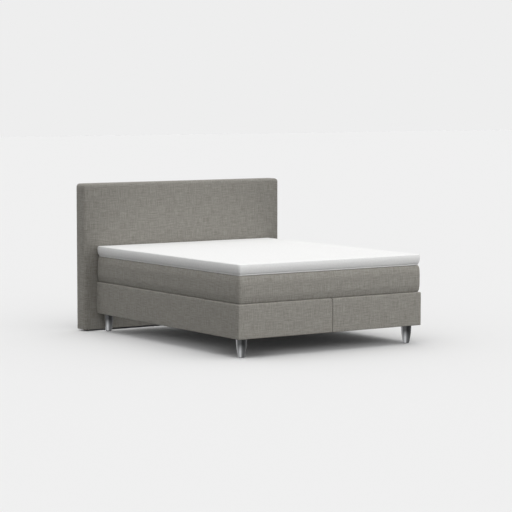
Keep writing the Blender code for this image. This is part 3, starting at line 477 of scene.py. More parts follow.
def padded_form(low, high, corners, rings, put=straight, step=GRID_STEP):
    """A closed skin: a flat grid inside the first ring, then rings round the sides, then a grid.

    A ring is (inset, inset of the lower side, level). Folds sharper than CREASE_OVER stay sharp."""
    shape = bmesh.new()
    runs = [max(2, round((high[side] - low[side]) / step)) for side in (0, 1)]
    loops, spans = [], []
    for inset, sill, level in rings:
        near, far = (low[0] + inset, low[1] + sill), (high[0] - inset, high[1] - inset)
        open_ring = 0 < len(loops) < len(rings) - 1
        radii = [max(radius - inset, 0.0) if open_ring else 0.0 for radius in corners]
        loops.append([shape.verts.new(put(a, b, level)) for a, b in round_plan(near, far, radii, runs)])
        spans.append((near, far, level))
    for upper, lower in zip(loops, loops[1:]):
        for index, vertex in enumerate(upper):
            after = (index + 1) % len(upper)
            shape.faces.new((vertex, lower[index], lower[after], upper[after]))
    for near, far, level in (spans[0], spans[-1]):
        grid = []
        for row in range(runs[1] + 1):
            b = near[1] + (far[1] - near[1]) * row / runs[1]
            grid.append([shape.verts.new(put(near[0] + (far[0] - near[0]) * column / runs[0], b, level))
                         for column in range(runs[0] + 1)])
        for row in range(runs[1]):
            for column in range(runs[0]):
                shape.faces.new((grid[row][column], grid[row][column + 1],
                                 grid[row + 1][column + 1], grid[row + 1][column]))
    bmesh.ops.remove_doubles(shape, verts=shape.verts, dist=MERGE_WITHIN)
    bmesh.ops.recalc_face_normals(shape, faces=shape.faces)
    crease = shape.edges.layers.float.new("crease_edge")
    for edge in shape.edges:
        if len(edge.link_faces) == 2 and edge.calc_face_angle(0.0) > CREASE_OVER:
            edge[crease] = 1.0
    return shape


def piece_from(name, shape, material):
    """An object of a shape, in one material."""
    mesh = bpy.data.meshes.new(name)
    shape.to_mesh(mesh)
    shape.free()
    mesh.materials.append(material)
    return place_in_scene(name, mesh)


def keep_result(piece, modifier):
    """Replaces a piece's mesh by what a modifier makes of it, and removes the modifier."""
    evaluated = piece.evaluated_get(bpy.context.evaluated_depsgraph_get())
    mesh = bpy.data.meshes.new_from_object(evaluated)
    piece.modifiers.remove(modifier)
    piece.data = mesh


def swell(piece, freedom, most, room):
    """Lets the filling push the cover out: cloth under pressure, with nothing moved past its room.

    freedom says for a point from 0, held, to 1, free; room is the box that the cover may fill."""
    mesh = piece.data
    held = piece.vertex_groups.new(name="held")
    for vertex in mesh.vertices:
        held.add([vertex.index], 1 - freedom(vertex.co), "REPLACE")
    cloth = piece.modifiers.new("filling", "CLOTH")
    cloth.settings.quality = 4
    cloth.settings.mass = 0.02
    cloth.settings.vertex_group_mass = "held"
    cloth.settings.use_pressure = True
    cloth.settings.uniform_pressure_force = 4.0
    cloth.settings.effector_weights.gravity = 0.0
    cloth.point_cache.frame_start, cloth.point_cache.frame_end = 1, CLOTH_FRAMES
    for number in range(1, CLOTH_FRAMES + 1):
        scene.frame_set(number)
    pushed = piece.evaluated_get(bpy.context.evaluated_depsgraph_get()).to_mesh()
    moves = [after.co - before.co for after, before in zip(pushed.vertices, mesh.vertices)]
    piece.modifiers.remove(cloth)
    piece.vertex_groups.clear()
    scene.frame_set(1)
    for vertex, move in zip(mesh.vertices, moves):
        share = freedom(vertex.co) * min(1.0, most / max(move.length, 1e-9))
        vertex.co += move * share
    for vertex in mesh.vertices:
        vertex.co = [min(max(value, least), top) for value, least, top in zip(vertex.co, *room)]


def settle(piece, freedom, wave):
    """Subdivides a padded piece once, and gives its free faces the faint unevenness of soft filling."""
    rounding = piece.modifiers.new("rounding", "SUBSURF")
    rounding.levels = rounding.render_levels = 1
    keep_result(piece, rounding)
    moves = []
    for vertex in piece.data.vertices:
        broad = noise.noise(vertex.co * WAVES_PER_METRE)
        fine = noise.noise(vertex.co * RIPPLES_PER_METRE + RIPPLE_SHIFT)
        moves.append(vertex.normal * (wave * (broad + RIPPLE_SHARE * fine) * freedom(vertex.co)))
    for vertex, move in zip(piece.data.vertices, moves):
        vertex.co += move


def smooth_but(mesh, degrees):
    """Smooth shading, but for edges that are sharper than so many degrees."""
    mesh.shade_smooth()
    mesh.set_sharp_from_angle(angle=math.radians(degrees))


def lay_weave(mesh):
    """A UV map in metres that runs along each face, so that a weave keeps to the cloth."""
    weave = mesh.uv_layers.new(name="weave")
    for face in mesh.polygons:
        lean = [abs(value) for value in face.normal]
        across, up = ((1, 2), (0, 2), (0, 1))[lean.index(max(lean))]
        for corner in face.loop_indices:
            spot = mesh.vertices[mesh.loops[corner].vertex_index].co
            weave.data[corner].uv = (spot[across], spot[up])
    smooth_but(mesh, 40)


def even(profile):
    """Rings that are drawn in by the same inset on all four sides."""
    return [(inset, inset, level) for inset, level in profile]


upholstery = woven_upholstery()
for hand in HANDS:
    low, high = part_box(f"{hand}_base_cover")
    inner, outer = BASE_INNER_CORNER, BASE_OUTER_CORNER
    corners = (inner, outer, outer, inner) if hand == "left" else (outer, inner, inner, outer)
    profile = [(BASE_TOP_INSET, high.z)]
    profile += padded_side(low.z, high.z, BASE_TOP_RADIUS, BASE_LOW_RADIUS, BASE_BULGE, 7)
    profile += [(BASE_LIP, low.z), (BASE_LIP + BASE_LIP_EDGE, low.z + BASE_LIP_HEIGHT),
                (BASE_LIP_END, low.z + BASE_LIP_HEIGHT)]

    def base_freedom(point):
        """Free on the upright sides, held on top and below."""
        share = (point.z - low.z) / (high.z - low.z)
        return math.sin(math.pi * min(max(share, 0.0), 1.0)) ** 0.7

    shape = padded_form(low.xy, high.xy, corners, even(profile))
    cover = piece_from(f"{hand}_base_upholstery", shape, upholstery)
    swell(cover, base_freedom, BASE_SWELL, (low, high))
    settle(cover, base_freedom, BASE_WAVE)
    lay_weave(cover.data)
    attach(cover, "bed")
    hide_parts(f"{hand}_base_cover")

# Dust cloths under the bases: black fleece, cut to reach over the turned-under cover, and held to the
# rails by rows of wire staples, shot in by hand and so not quite in line.

LINING_BLACK = "#2a2a2c"
LINING_SHADE = "#161617"
CLOTH_THICKNESS = 0.0008
CLOTH_OVERLAP = 0.014
CLOTH_GAP = 0.0001
STAPLE_INSET = 0.018
WIRE_SIDES = 6
STAPLE_SIZES = {"Spacing": 0.055, "Wire radius": 0.0006, "Crown radius": 0.0143, "Crown sweep": 0.72,
                "Stand proud": 0.0003, "Lay angle": 0.35, "Lay scatter": 0.30, "Seed": 7}
STEEL_PALE = "#c3c6c8"
STEEL_SHADE = "#9da1a5"
STEEL_DULLNESS = (0.28, 0.46)
STEEL_RELIEF = 0.0001
CLOUDS_PER_METRE = 140.0


def zinc_plated():
    """Zinc-plated steel: bluish grey, half matt, with the faint cloudy patches of the plating."""
    material, tree, shader = new_finish("zinc_plated_steel", {"Metallic": 1.0})
    here = add_node(tree, "ShaderNodeTexCoord").outputs["Object"]
    clouds = add_node(tree, "ShaderNodeTexNoise", {"Vector": here, "Scale": CLOUDS_PER_METRE, "Detail": 3.0})
    dull = add_node(tree, "ShaderNodeMapRange", {0: clouds, 3: STEEL_DULLNESS[0], 4: STEEL_DULLNESS[1]})
    feed(tree, shader, {"Base Color": between(tree, clouds, STEEL_SHADE, STEEL_PALE), "Roughness": dull})
    raise_surface(tree, shader, clouds, STEEL_RELIEF, 0.4)
    return material


def staple_tree():
    """Rows of staples along edges: arched wire crowns whose ends sink into the cloth."""
    tree = bpy.data.node_groups.new("staple_rows", "GeometryNodeTree")
    tree.interface.new_socket("Rows", in_out="INPUT", socket_type="NodeSocketGeometry")
    for title in STAPLE_SIZES:
        kind = "NodeSocketInt" if title == "Seed" else "NodeSocketFloat"
        tree.interface.new_socket(title, in_out="INPUT", socket_type=kind)
    tree.interface.new_socket("Outward", in_out="INPUT", socket_type="NodeSocketVector")
    tree.interface.new_socket("Finish", in_out="INPUT", socket_type="NodeSocketMaterial")
    tree.interface.new_socket("Staples", in_out="OUTPUT", socket_type="NodeSocketGeometry")
    given = add_node(tree, "NodeGroupInput").outputs
    row = add_node(tree, "GeometryNodeMeshToCurve", {"Mesh": given["Rows"]})
    row = add_node(tree, "GeometryNodeResampleCurve", {"Curve": row, "Length": given["Spacing"]},
                   mode="LENGTH")
    half_sweep = add_node(tree, "ShaderNodeMath", {0: given["Crown sweep"], 1: -0.5, 2: math.pi / 2},
                          operation="MULTIPLY_ADD")
    crown = add_node(tree, "GeometryNodeCurveArc", {
        "Resolution": WIRE_SIDES, "Radius": given["Crown radius"], "Start Angle": half_sweep,
        "Sweep Angle": given["Crown sweep"]}, mode="RADIUS")
    wire = add_node(tree, "GeometryNodeCurvePrimitiveCircle", {
        "Resolution": WIRE_SIDES, "Radius": given["Wire radius"]}, mode="RADIUS")
    staple = add_node(tree, "GeometryNodeCurveToMesh", {
        "Curve": crown, "Profile Curve": wire, "Fill Caps": True})
    drop = add_node(tree, "ShaderNodeMath", {0: given["Stand proud"], 1: given["Crown radius"]},
                    operation="SUBTRACT")
    staple = add_node(tree, "GeometryNodeTransform", {
        "Geometry": staple, "Translation": add_node(tree, "ShaderNodeCombineXYZ", {"Z": drop}),
        "Rotation": (math.pi / 2, 0.0, 0.0)})
    facing = add_node(tree, "FunctionNodeAlignRotationToVector", {"Vector": given["Outward"]}, axis="Z")
    along = add_node(tree, "GeometryNodeInputTangent")
    facing = add_node(tree, "FunctionNodeAlignRotationToVector", {"Rotation": facing, "Vector": along},
                      axis="X", pivot_axis="Z")
    least, greatest = [add_node(tree, "ShaderNodeMath", {0: given["Lay angle"], 1: given["Lay scatter"]},
                                operation=way) for way in ("SUBTRACT", "ADD")]
    lay = add_node(tree, "FunctionNodeRandomValue", {2: least, 3: greatest, 8: given["Seed"]},
                   data_type="FLOAT")
    turn = add_node(tree, "FunctionNodeAxisAngleToRotation", {
        "Axis": (0.0, 0.0, 1.0), "Angle": lay.outputs[1]})
    facing = add_node(tree, "FunctionNodeRotateRotation", {"Rotation": facing, "Rotate By": turn},
                      rotation_space="LOCAL")
    staples = add_node(tree, "GeometryNodeInstanceOnPoints", {
        "Points": row, "Instance": staple, "Rotation": facing})
    staples = add_node(tree, "GeometryNodeRealizeInstances", {"Geometry": staples})
    staples = add_node(tree, "GeometryNodeSetMaterial", {"Geometry": staples, "Material": given["Finish"]})
    add_node(tree, "NodeGroupOutput", {"Staples": staples})
    return tree


def staple_rows(name, rows, outward):
    """A piece of staples along closed rows of points."""
    shape = bmesh.new()
    for row in rows:
        corners = [shape.verts.new(point) for point in row]
        for start, end in zip(corners, corners[1:] + corners[:1]):
            shape.edges.new((start, end))
    piece = piece_from(name, shape, zinc)
    stapling = piece.modifiers.new("stapling", "NODES")
    stapling.node_group = staples_along
    values = {**STAPLE_SIZES, "Outward": outward, "Finish": zinc}
    for socket in staples_along.interface.items_tree:
        if socket.name in values:
            stapling[socket.identifier] = values[socket.name]
    keep_result(piece, stapling)
    piece.data.shade_smooth()
    return piece


def rectangle(low, high, inset, level, put=straight):
    """The corners of a rectangle drawn in by an inset."""
    near, far = (low[0] + inset, low[1] + inset), (high[0] - inset, high[1] - inset)
    return [put(a, b, level) for a, b in (near, (far[0], near[1]), far, (near[0], far[1]))]


def stretched_cloth(name, node, material, body, grow, levels, put=straight, plane=(0, 1)):
    """A flat sheet over a node's place, let out by grow on every side, between two levels."""
    low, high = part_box(node)
    near = [low[axis] - grow for axis in plane]
    far = [high[axis] + grow for axis in plane]
    rings = [(0.0, 0.0, levels[0]), (0.0, 0.0, levels[1])]
    sheet = piece_from(name, padded_form(near, far, (0.0,) * 4, rings, put), material)
    lay_weave(sheet.data)
    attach(sheet, body)
    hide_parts(node)
    return sheet


zinc = zinc_plated()
staples_along = staple_tree()
lining = welded_fleece("black_lining_fleece", LINING_BLACK, LINING_SHADE, 0.88)
base_rows = []
for hand in HANDS:
    low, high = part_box(f"{hand}_base_cover")
    cloth_top = low.z - CLOTH_GAP
    cloth = stretched_cloth(f"{hand}_base_lining", f"{hand}_base_dust_cloth", lining, "bed", CLOTH_OVERLAP,
                            (cloth_top, cloth_top - CLOTH_THICKNESS))
    base_rows.append(rectangle(low.xy, high.xy, STAPLE_INSET, cloth_top - CLOTH_THICKNESS))
base_staples = staple_rows("base_staples", base_rows, (0.0, 0.0, -1.0))
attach(base_staples, "bed")

# Four turned legs of steel tube, copper and nickel under bright chrome, screwed up into the blocks by
# their studs. Each taper ends in a pressed-in black plastic glide that keeps the metal off the floor.

LEG_TOP_RADIUS = 0.038
LEG_FOOT_RADIUS = 0.023
LEG_TAPER = 2.0
LEG_EDGE = 0.0018
LEG_HEAD_GAP = 0.0021
LEG_ROWS = 32
STUD_RADIUS = 0.005
GLIDE_EDGE = 0.0008
GLIDE_RIM = 0.0025
GLIDE_PEG_RADIUS = 0.004
FIT = 0.0003
ROUND_SIDES = 64
RIM_STEPS = 4
TURNED_CREASE = 35
CHROME_BRIGHT = "#dcdddf"
CHROME_DEEP = "#cfd1d4"
CHROME_DULLNESS = (0.04, 0.12)
HAZE_PER_METRE = 45.0
PLASTIC_BLACK = "#1b1b1c"
PLASTIC_WORN = "#262627"
PLASTIC_DULLNESS = (0.38, 0.56)
PLASTIC_RELIEF = 0.0001
MOULD_GRAINS_PER_METRE = 900.0
WORN_SPOTS_PER_METRE = 60.0


def polished_chrome():
    """Bright chrome plating: a mirror with the faintest haze where it has been wiped."""
    material, tree, shader = new_finish("polished_chrome", {"Metallic": 1.0})
    here = add_node(tree, "ShaderNodeTexCoord").outputs["Object"]
    haze = add_node(tree, "ShaderNodeTexNoise", {"Vector": here, "Scale": HAZE_PER_METRE, "Detail": 4.0})
    wiped = add_node(tree, "ShaderNodeMapRange", {0: haze, 3: CHROME_DULLNESS[0], 4: CHROME_DULLNESS[1]})
    feed(tree, shader, {"Base Color": between(tree, haze, CHROME_BRIGHT, CHROME_DEEP), "Roughness": wiped})
    return material


def moulded_plastic():
    """Injection-moulded polyamide: black and half matt, with the fine grain of the mould."""
    material, tree, shader = new_finish("black_plastic", {"IOR": 1.53})
    here = add_node(tree, "ShaderNodeTexCoord").outputs["Object"]
    grain = add_node(tree, "ShaderNodeTexNoise", {
        "Vector": here, "Scale": MOULD_GRAINS_PER_METRE, "Detail": 2.0})
    worn = add_node(tree, "ShaderNodeTexNoise", {
        "Vector": here, "Scale": WORN_SPOTS_PER_METRE, "Detail": 3.0})
    dull = add_node(tree, "ShaderNodeMapRange", {0: worn, 3: PLASTIC_DULLNESS[0], 4: PLASTIC_DULLNESS[1]})
    feed(tree, shader, {"Base Color": between(tree, worn, PLASTIC_BLACK, PLASTIC_WORN), "Roughness": dull})
    raise_surface(tree, shader, grain, PLASTIC_RELIEF, 0.5)
    return material


def ring(shape, centre, reaches, level):
    """Points round a centre at one level, each at its own reach."""
    turns = [2 * math.pi * index / len(reaches) for index in range(len(reaches))]
    return [shape.verts.new((centre.x + reach * math.cos(turn), centre.y + reach * math.sin(turn), level))
            for reach, turn in zip(reaches, turns)]


def join_rings(shape, rings):
    """Faces between rings of equal counts, closed at both ends."""
    for upper, lower in zip(rings, rings[1:]):
        for index, vertex in enumerate(upper):
            after = (index + 1) % len(upper)
            shape.faces.new((vertex, lower[index], lower[after], upper[after]))
    shape.faces.new(rings[0])
    shape.faces.new(rings[-1])


def turned_body(shape, centre, profile, sides):
    """Adds a round body to a shape, from radii and levels."""
    join_rings(shape, [ring(shape, centre, [radius] * sides, level) for radius, level in profile])


def finished_turning(name, shape, material, body, node):
    """A turned shape as a piece of a body, which stands for a node."""
    bmesh.ops.recalc_face_normals(shape, faces=shape.faces)
    piece = piece_from(name, shape, material)
    smooth_but(piece.data, TURNED_CREASE)
    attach(piece, body)
    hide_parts(node)
    return piece


def turned_piece(name, node, profile, material):
    """A round piece of the bed on a node's own axis, from radii and levels."""
    low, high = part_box(node)
    shape = bmesh.new()
    turned_body(shape, (low + high) / 2, profile, ROUND_SIDES)
    return finished_turning(name, shape, material, "bed", node)


def eased_rim(radius, level, edge, start, end):
    """Radii and levels round the small eased edge of a turned piece, whose corner is at radius, level.

    The angles are in degrees from straight up; past 90 the edge is a lower one."""
    middle = level - edge if start < 90 else level + edge
    return [(-inset, height) for inset, height in
            edge_arc(edge - radius, middle, edge, start, end, RIM_STEPS)]


def glide_profile(radius, height, peg_top):
    """A plastic glide with a peg: radii and levels from the peg down."""
    profile = [(GLIDE_PEG_RADIUS, peg_top), (GLIDE_PEG_RADIUS, height)]
    profile += eased_rim(radius, height, GLIDE_EDGE, 0, 90)
    return profile + eased_rim(radius, 0.0, GLIDE_EDGE, 90, 180)


chrome = polished_chrome()
plastic = moulded_plastic()
for corner in LEG_CORNERS:
    leg_low, leg_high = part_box(f"{corner}_leg")
    leg_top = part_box(f"{corner}_leg_block")[0].z - LEG_HEAD_GAP
    profile = [(STUD_RADIUS, leg_high.z), (STUD_RADIUS, leg_top)]
    profile += eased_rim(LEG_TOP_RADIUS, leg_top, LEG_EDGE, 0, 90)
    taper_top, taper_low = leg_top - LEG_EDGE, leg_low.z + GLIDE_EDGE
    for row in range(1, LEG_ROWS + 1):
        share = row / LEG_ROWS
        profile.append((LEG_TOP_RADIUS - (LEG_TOP_RADIUS - LEG_FOOT_RADIUS) * share ** LEG_TAPER,
                        taper_top + (taper_low - taper_top) * share))
    profile += eased_rim(LEG_FOOT_RADIUS, leg_low.z, GLIDE_EDGE, 110, 180)
    leg = turned_piece(f"{corner}_chrome_leg", f"{corner}_leg", profile, chrome)
    glide_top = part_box(f"{corner}_leg_glide")[1].z
    glide = turned_piece(f"{corner}_plastic_glide", f"{corner}_leg_glide",
                         glide_profile(LEG_FOOT_RADIUS - GLIDE_RIM, leg_low.z - FIT, glide_top), plastic)

# Height-adjustable leg under the joint of the bases: a moulded tube with a flange, whose two pins hold
# the inner rails, a zinc-plated screw with a milled collar, and a foot pad that turns freely on it.

FLANGE_RADIUS = 0.055
FLANGE_THICKNESS = 0.005
FLANGE_RISE = 0.003
NECK_FLARE = 0.004
TUBE_RADIUS = 0.021
TUBE_BORE_RADIUS = 0.0084
TUBE_BORE_DEPTH = 0.0576
TUBE_SIDES = 96
SUPPORT_EDGE = 0.0012
PIN_RADIUS = 0.004
PIN_OFFSET = 0.0168
PIN_SINK = 0.002
PIN_EDGE = 0.001
PIN_SIDES = 32
THREAD_DEPTH = 0.0009
THREAD_RISE = 0.002
THREAD_RADIUS = 0.008
THREAD_SIDES = 24
THREAD_ROWS_PER_TURN = 8
COLLAR_RADIUS = 0.014
COLLAR_HEIGHT = 0.009
COLLAR_EDGE = 0.001
COLLAR_FLUTES = 24
COLLAR_SIDES = 192
FLUTE_DEPTH = 0.0007
SCREW_NECK_RADIUS = 0.005
SCREW_ROOT_RADIUS = 0.0072
SCREW_STEP = 0.0004
PAD_RADIUS = 0.022
PAD_EDGE = 0.002
PAD_RIM = 0.0006
PAD_BORE_RADIUS = 0.0054


def cut_thread(shape, centre, low, high):
    """Adds a closed rod with a helical V thread to a shape."""
    rows = round((high - low) / (THREAD_RISE / THREAD_ROWS_PER_TURN))
    rings = []
    for row in range(rows + 1):
        level = low + (high - low) * row / rows
        phases = [(level / THREAD_RISE - index / THREAD_SIDES) % 1.0 for index in range(THREAD_SIDES)]
        reaches = [THREAD_RADIUS - THREAD_DEPTH * abs(2 * phase - 1) for phase in phases]
        rings.append(ring(shape, centre, reaches, level))
    join_rings(shape, rings)


def milled_collar(shape, centre, low, high, neck_low):
    """Adds the screw's neck and its collar, whose rim is milled with flutes for the fingers."""
    turns = [2 * math.pi * index / COLLAR_SIDES for index in range(COLLAR_SIDES)]
    milled = [COLLAR_RADIUS - FLUTE_DEPTH * (0.5 - 0.5 * math.cos(COLLAR_FLUTES * turn)) for turn in turns]
    neck, face, root = [[radius] * COLLAR_SIDES for radius in
                        (SCREW_NECK_RADIUS, COLLAR_RADIUS - COLLAR_EDGE, SCREW_ROOT_RADIUS)]
    join_rings(shape, [ring(shape, centre, reaches, level) for reaches, level in (
        (neck, neck_low), (neck, low), (face, low), (milled, low + COLLAR_EDGE),
        (milled, high - COLLAR_EDGE), (face, high), (root, high), (root, high + 2 * SCREW_STEP))])


tube_low, tube_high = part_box("support_leg")
screw_low, screw_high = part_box("support_spindle")
pad_low, pad_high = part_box("support_pad")
flange_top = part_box("base_link_foot")[0].z + FLANGE_RISE
flange_low = flange_top - FLANGE_THICKNESS
support_middle = (pad_low + pad_high) / 2
shape = bmesh.new()
profile = eased_rim(FLANGE_RADIUS, flange_top, SUPPORT_EDGE, 0, 90)
profile += eased_rim(FLANGE_RADIUS, flange_low, SUPPORT_EDGE, 90, 180)
profile += [(TUBE_RADIUS + NECK_FLARE, flange_low), (TUBE_RADIUS + SUPPORT_EDGE, flange_low - SUPPORT_EDGE),
            (TUBE_RADIUS, flange_low - NECK_FLARE)]
profile += eased_rim(TUBE_RADIUS, tube_low.z, SUPPORT_EDGE, 90, 180)
profile += [(TUBE_BORE_RADIUS, tube_low.z), (TUBE_BORE_RADIUS, tube_low.z + TUBE_BORE_DEPTH)]
turned_body(shape, support_middle, profile, TUBE_SIDES)
for pin_x in (-PIN_OFFSET, PIN_OFFSET):
    profile = [(PIN_RADIUS, flange_top - PIN_SINK), (PIN_RADIUS, tube_high.z - PIN_EDGE),
               (PIN_RADIUS - PIN_EDGE, tube_high.z)]
    turned_body(shape, Vector((pin_x, support_middle.y, 0.0)), profile, PIN_SIDES)
support = finished_turning("support_tube", shape, plastic, "bed", "support_leg")
shape = bmesh.new()
collar_low = pad_high.z + SCREW_STEP
collar_high = collar_low + COLLAR_HEIGHT
milled_collar(shape, support_middle, collar_low, collar_high, screw_low.z)
cut_thread(shape, support_middle, collar_high + SCREW_STEP, screw_high.z)
screw = finished_turning("support_screw_thread", shape, zinc, "support_screw", "support_spindle")
shape = bmesh.new()
profile = [(PAD_BORE_RADIUS, screw_low.z - SCREW_STEP), (PAD_BORE_RADIUS, pad_high.z)]
profile += eased_rim(PAD_RADIUS, pad_high.z, PAD_EDGE, 0, 90) + eased_rim(PAD_RADIUS, 0.0, PAD_RIM, 90, 180)
turned_body(shape, support_middle, profile, TUBE_SIDES)
foot_pad = finished_turning("support_foot_pad", shape, plastic, "support_foot", "support_pad")

# Steel that ties the bed together: two straps whose pins hold the bases side by side, two angle
# brackets under the head end and their hexagon bolts. Stamped or headed, deburred, zinc-plated.

STEEL_EDGE = 0.0004
NODE_MERGE_WITHIN = 0.00001
STEEL_PIECES = {
    "base_link_foot": "foot_link_strap", "base_link_head": "head_link_strap",
    "left_headboard_bracket": "left_angle_bracket", "right_headboard_bracket": "right_angle_bracket",
    "left_headboard_bolt": "left_hexagon_bolt", "right_headboard_bolt": "right_hexagon_bolt",
    "left_bracket_bolt": "left_hexagon_screw", "right_bracket_bolt": "right_hexagon_screw"}


def deburred(name, node):
    """A node's own shape with its edges eased, as a stamped part is tumbled before plating."""
    shape = bmesh.new()
    shape.from_mesh(nodes[node].data)
    bmesh.ops.remove_doubles(shape, verts=shape.verts, dist=NODE_MERGE_WITHIN)
    bmesh.ops.dissolve_limit(shape, angle_limit=math.radians(1), verts=shape.verts, edges=shape.edges)
    piece = piece_from(name, shape, zinc)
    easing = piece.modifiers.new("easing", "BEVEL")
    easing.width = STEEL_EDGE
    easing.segments = 2
    easing.limit_method = "ANGLE"
    easing.angle_limit = math.radians(45)
    keep_result(piece, easing)
    smooth_but(piece.data, TURNED_CREASE)
    return piece


for node, name in STEEL_PIECES.items():
    fitting = deburred(name, node)
    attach(fitting, "bed")
    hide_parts(node)

# Frame of the headboard: two posts, a top and a bottom rail of planed spruce, and a facing of brown
# hardboard nailed over them. Foam is glued over the front and round the edges.

BOARD_BROWN = "#7a5638"
BOARD_DARK = "#5f4029"
BOARD_RELIEF = 0.0002
FLECKS_PER_METRE = 320.0


def pressed_hardboard():
    """Hardboard: brown pressed wood fibre, smooth and flecked, without any grain."""
    material, tree, shader = new_finish("brown_hardboard", {"Roughness": 0.68, "IOR": 1.5})
    here = add_node(tree, "ShaderNodeTexCoord").outputs["Object"]
    flecks = add_node(tree, "ShaderNodeTexNoise", {"Vector": here, "Scale": FLECKS_PER_METRE, "Detail": 4.0})
    feed(tree, shader, {"Base Color": between(tree, flecks, BOARD_DARK, BOARD_BROWN)})
    raise_surface(tree, shader, flecks, BOARD_RELIEF, 0.5)
    return material


dress(spruce_upright, "headboard_left_post", "headboard_right_post")
dress(spruce_across, "headboard_top_rail", "headboard_bottom_rail")
dress(pressed_hardboard(), "headboard_facing")
dress(foam, "headboard_foam")

# Cover of the headboard: the same fabric, pulled over the foam from the front. Its front edges are
# round, its lower edge is folded sharp, and it is turned 45 mm onto the back and stapled there.

HEADBOARD_DEPTH = 0.115
HEADBOARD_FRONT_RADIUS = 0.026
HEADBOARD_CORNER_RADIUS = 0.028
HEADBOARD_LOW_CORNER = 0.004
HEADBOARD_BACK_RADIUS = 0.006
HEADBOARD_SIDE_LEVELS = (0.060, 0.033)
HEADBOARD_LIP = 0.045
HEADBOARD_LIP_EDGE = 0.0006
HEADBOARD_LIP_END = 0.070
HEADBOARD_RECESS = 0.0043
HEADBOARD_SLACK = 0.0025
HEADBOARD_HELD_DEPTH = 0.070
HEADBOARD_FREE_DEPTH = 0.040
HEADBOARD_EDGE_BAND = 0.050
HEADBOARD_FLOOR_BAND = 0.01
HEADBOARD_SWELL = 0.004
HEADBOARD_WAVE = 0.0007
low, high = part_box("headboard_cover")
wall_y = high.y


def from_wall(a, b, level):
    """A point of the headboard's plan, at a distance from the wall."""
    return (a, wall_y - level, b)


front = HEADBOARD_DEPTH - HEADBOARD_SLACK
profile = edge_arc(HEADBOARD_FRONT_RADIUS, front - HEADBOARD_FRONT_RADIUS, HEADBOARD_FRONT_RADIUS, 0, 90, 8)
profile += [(0.0, level) for level in HEADBOARD_SIDE_LEVELS]
profile += edge_arc(HEADBOARD_BACK_RADIUS, HEADBOARD_BACK_RADIUS, HEADBOARD_BACK_RADIUS, 90, 180, 4)
rings = [(inset, 0.0, level) for inset, level in profile]
rings += even([(HEADBOARD_LIP, 0.0), (HEADBOARD_LIP + HEADBOARD_LIP_EDGE, HEADBOARD_RECESS),
               (HEADBOARD_LIP_END, HEADBOARD_RECESS)])
corners = (HEADBOARD_CORNER_RADIUS, HEADBOARD_CORNER_RADIUS, HEADBOARD_LOW_CORNER, HEADBOARD_LOW_CORNER)
shape = padded_form((low.x, low.z), (high.x, high.z), corners, rings, from_wall)
headboard = piece_from("headboard_upholstery", shape, upholstery)


def headboard_freedom(point):
    """Free on the front face, held at the edges, on the back and along the floor."""
    ahead = (wall_y - point.y - HEADBOARD_HELD_DEPTH) / HEADBOARD_FREE_DEPTH
    upward = min(high.z - point.z, point.z - low.z + HEADBOARD_FLOOR_BAND)
    inward = min(point.x - low.x, high.x - point.x, upward) / HEADBOARD_EDGE_BAND
    return min(max(min(ahead, inward), 0.0), 1.0)


link_light(bed_lamp, headboard, "EXCLUDE")
link_light(headboard_lamp, headboard, "INCLUDE")
link_light(headboard_glow, headboard, "INCLUDE")
swell(headboard, headboard_freedom, HEADBOARD_SWELL, (low, high))
settle(headboard, headboard_freedom, HEADBOARD_WAVE)
lay_weave(headboard.data)
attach(headboard, "bed")
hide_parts("headboard_cover")

# Back of the headboard: black fleece stretched inside the turned-in cover and stapled to the frame,
# with a second row of staples in the cover itself. Two plastic glides carry the posts.

BACK_CLOTH_LEVELS = (0.0032, 0.0042)
COVER_STAPLE_INSET = 0.038
CLOTH_STAPLE_INSET = 0.055
HEADBOARD_GLIDE_RADIUS = 0.016

back_cloth = stretched_cloth("headboard_back_lining", "headboard_back_cloth", lining, "bed", 0.0,
                             BACK_CLOTH_LEVELS, from_wall, (0, 2))
flat_low, flat_high = (low.x, low.z), (high.x, high.z)
headboard_rows = [rectangle(flat_low, flat_high, COVER_STAPLE_INSET, 0.0, from_wall),
                  rectangle(flat_low, flat_high, CLOTH_STAPLE_INSET, BACK_CLOTH_LEVELS[0], from_wall)]
headboard_staples = staple_rows("headboard_staples", headboard_rows, (0.0, 1.0, 0.0))
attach(headboard_staples, "bed")
for hand in HANDS:
    glide_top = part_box(f"headboard_{hand}_glide")[1].z
    glide = turned_piece(f"headboard_{hand}_plastic_glide", f"headboard_{hand}_glide",
                         glide_profile(HEADBOARD_GLIDE_RADIUS, low.z - FIT, glide_top), plastic)

# Mattress: pocket springs between two sheets of foam, in a sewn cover of the bed's own fabric with
# full, softly barrelled sides. A black fleece panel closes it below.

MATTRESS_TOP_DRAW = 0.017
MATTRESS_LOW_DRAW = 0.019
MATTRESS_FULLNESS = 2.2
MATTRESS_CORNER = 0.022
MATTRESS_SLACK = 0.001
MATTRESS_TOP_INSET = 0.045
MATTRESS_TOP_EASE = (0.007, 0.0010)
MATTRESS_TOP_DIP = 0.0002
MATTRESS_LOW_EASE = (0.006, 0.0004)
MATTRESS_LIP = 0.070
MATTRESS_LIP_EDGE = 0.0008
MATTRESS_LIP_HEIGHT = 0.003
MATTRESS_LIP_END = 0.090
MATTRESS_PANEL_LEVELS = (0.0022, 0.0004)
MATTRESS_SWELL = 0.005
MATTRESS_WAVE = 0.0008


def barrelled_side(low, high, top_draw, low_draw, fullness, rows):
    """Insets and levels down a side that is full in the middle and drawn in towards both edges."""
    profile = []
    for row in range(rows + 1):
        lift = math.cos(math.pi * row / rows)
        draw = top_draw if lift > 0 else low_draw
        bow = 1 - (1 - abs(lift) ** fullness) ** (1 / fullness)
        profile.append((draw * bow, low + (high - low) * (lift + 1) / 2))
    return profile


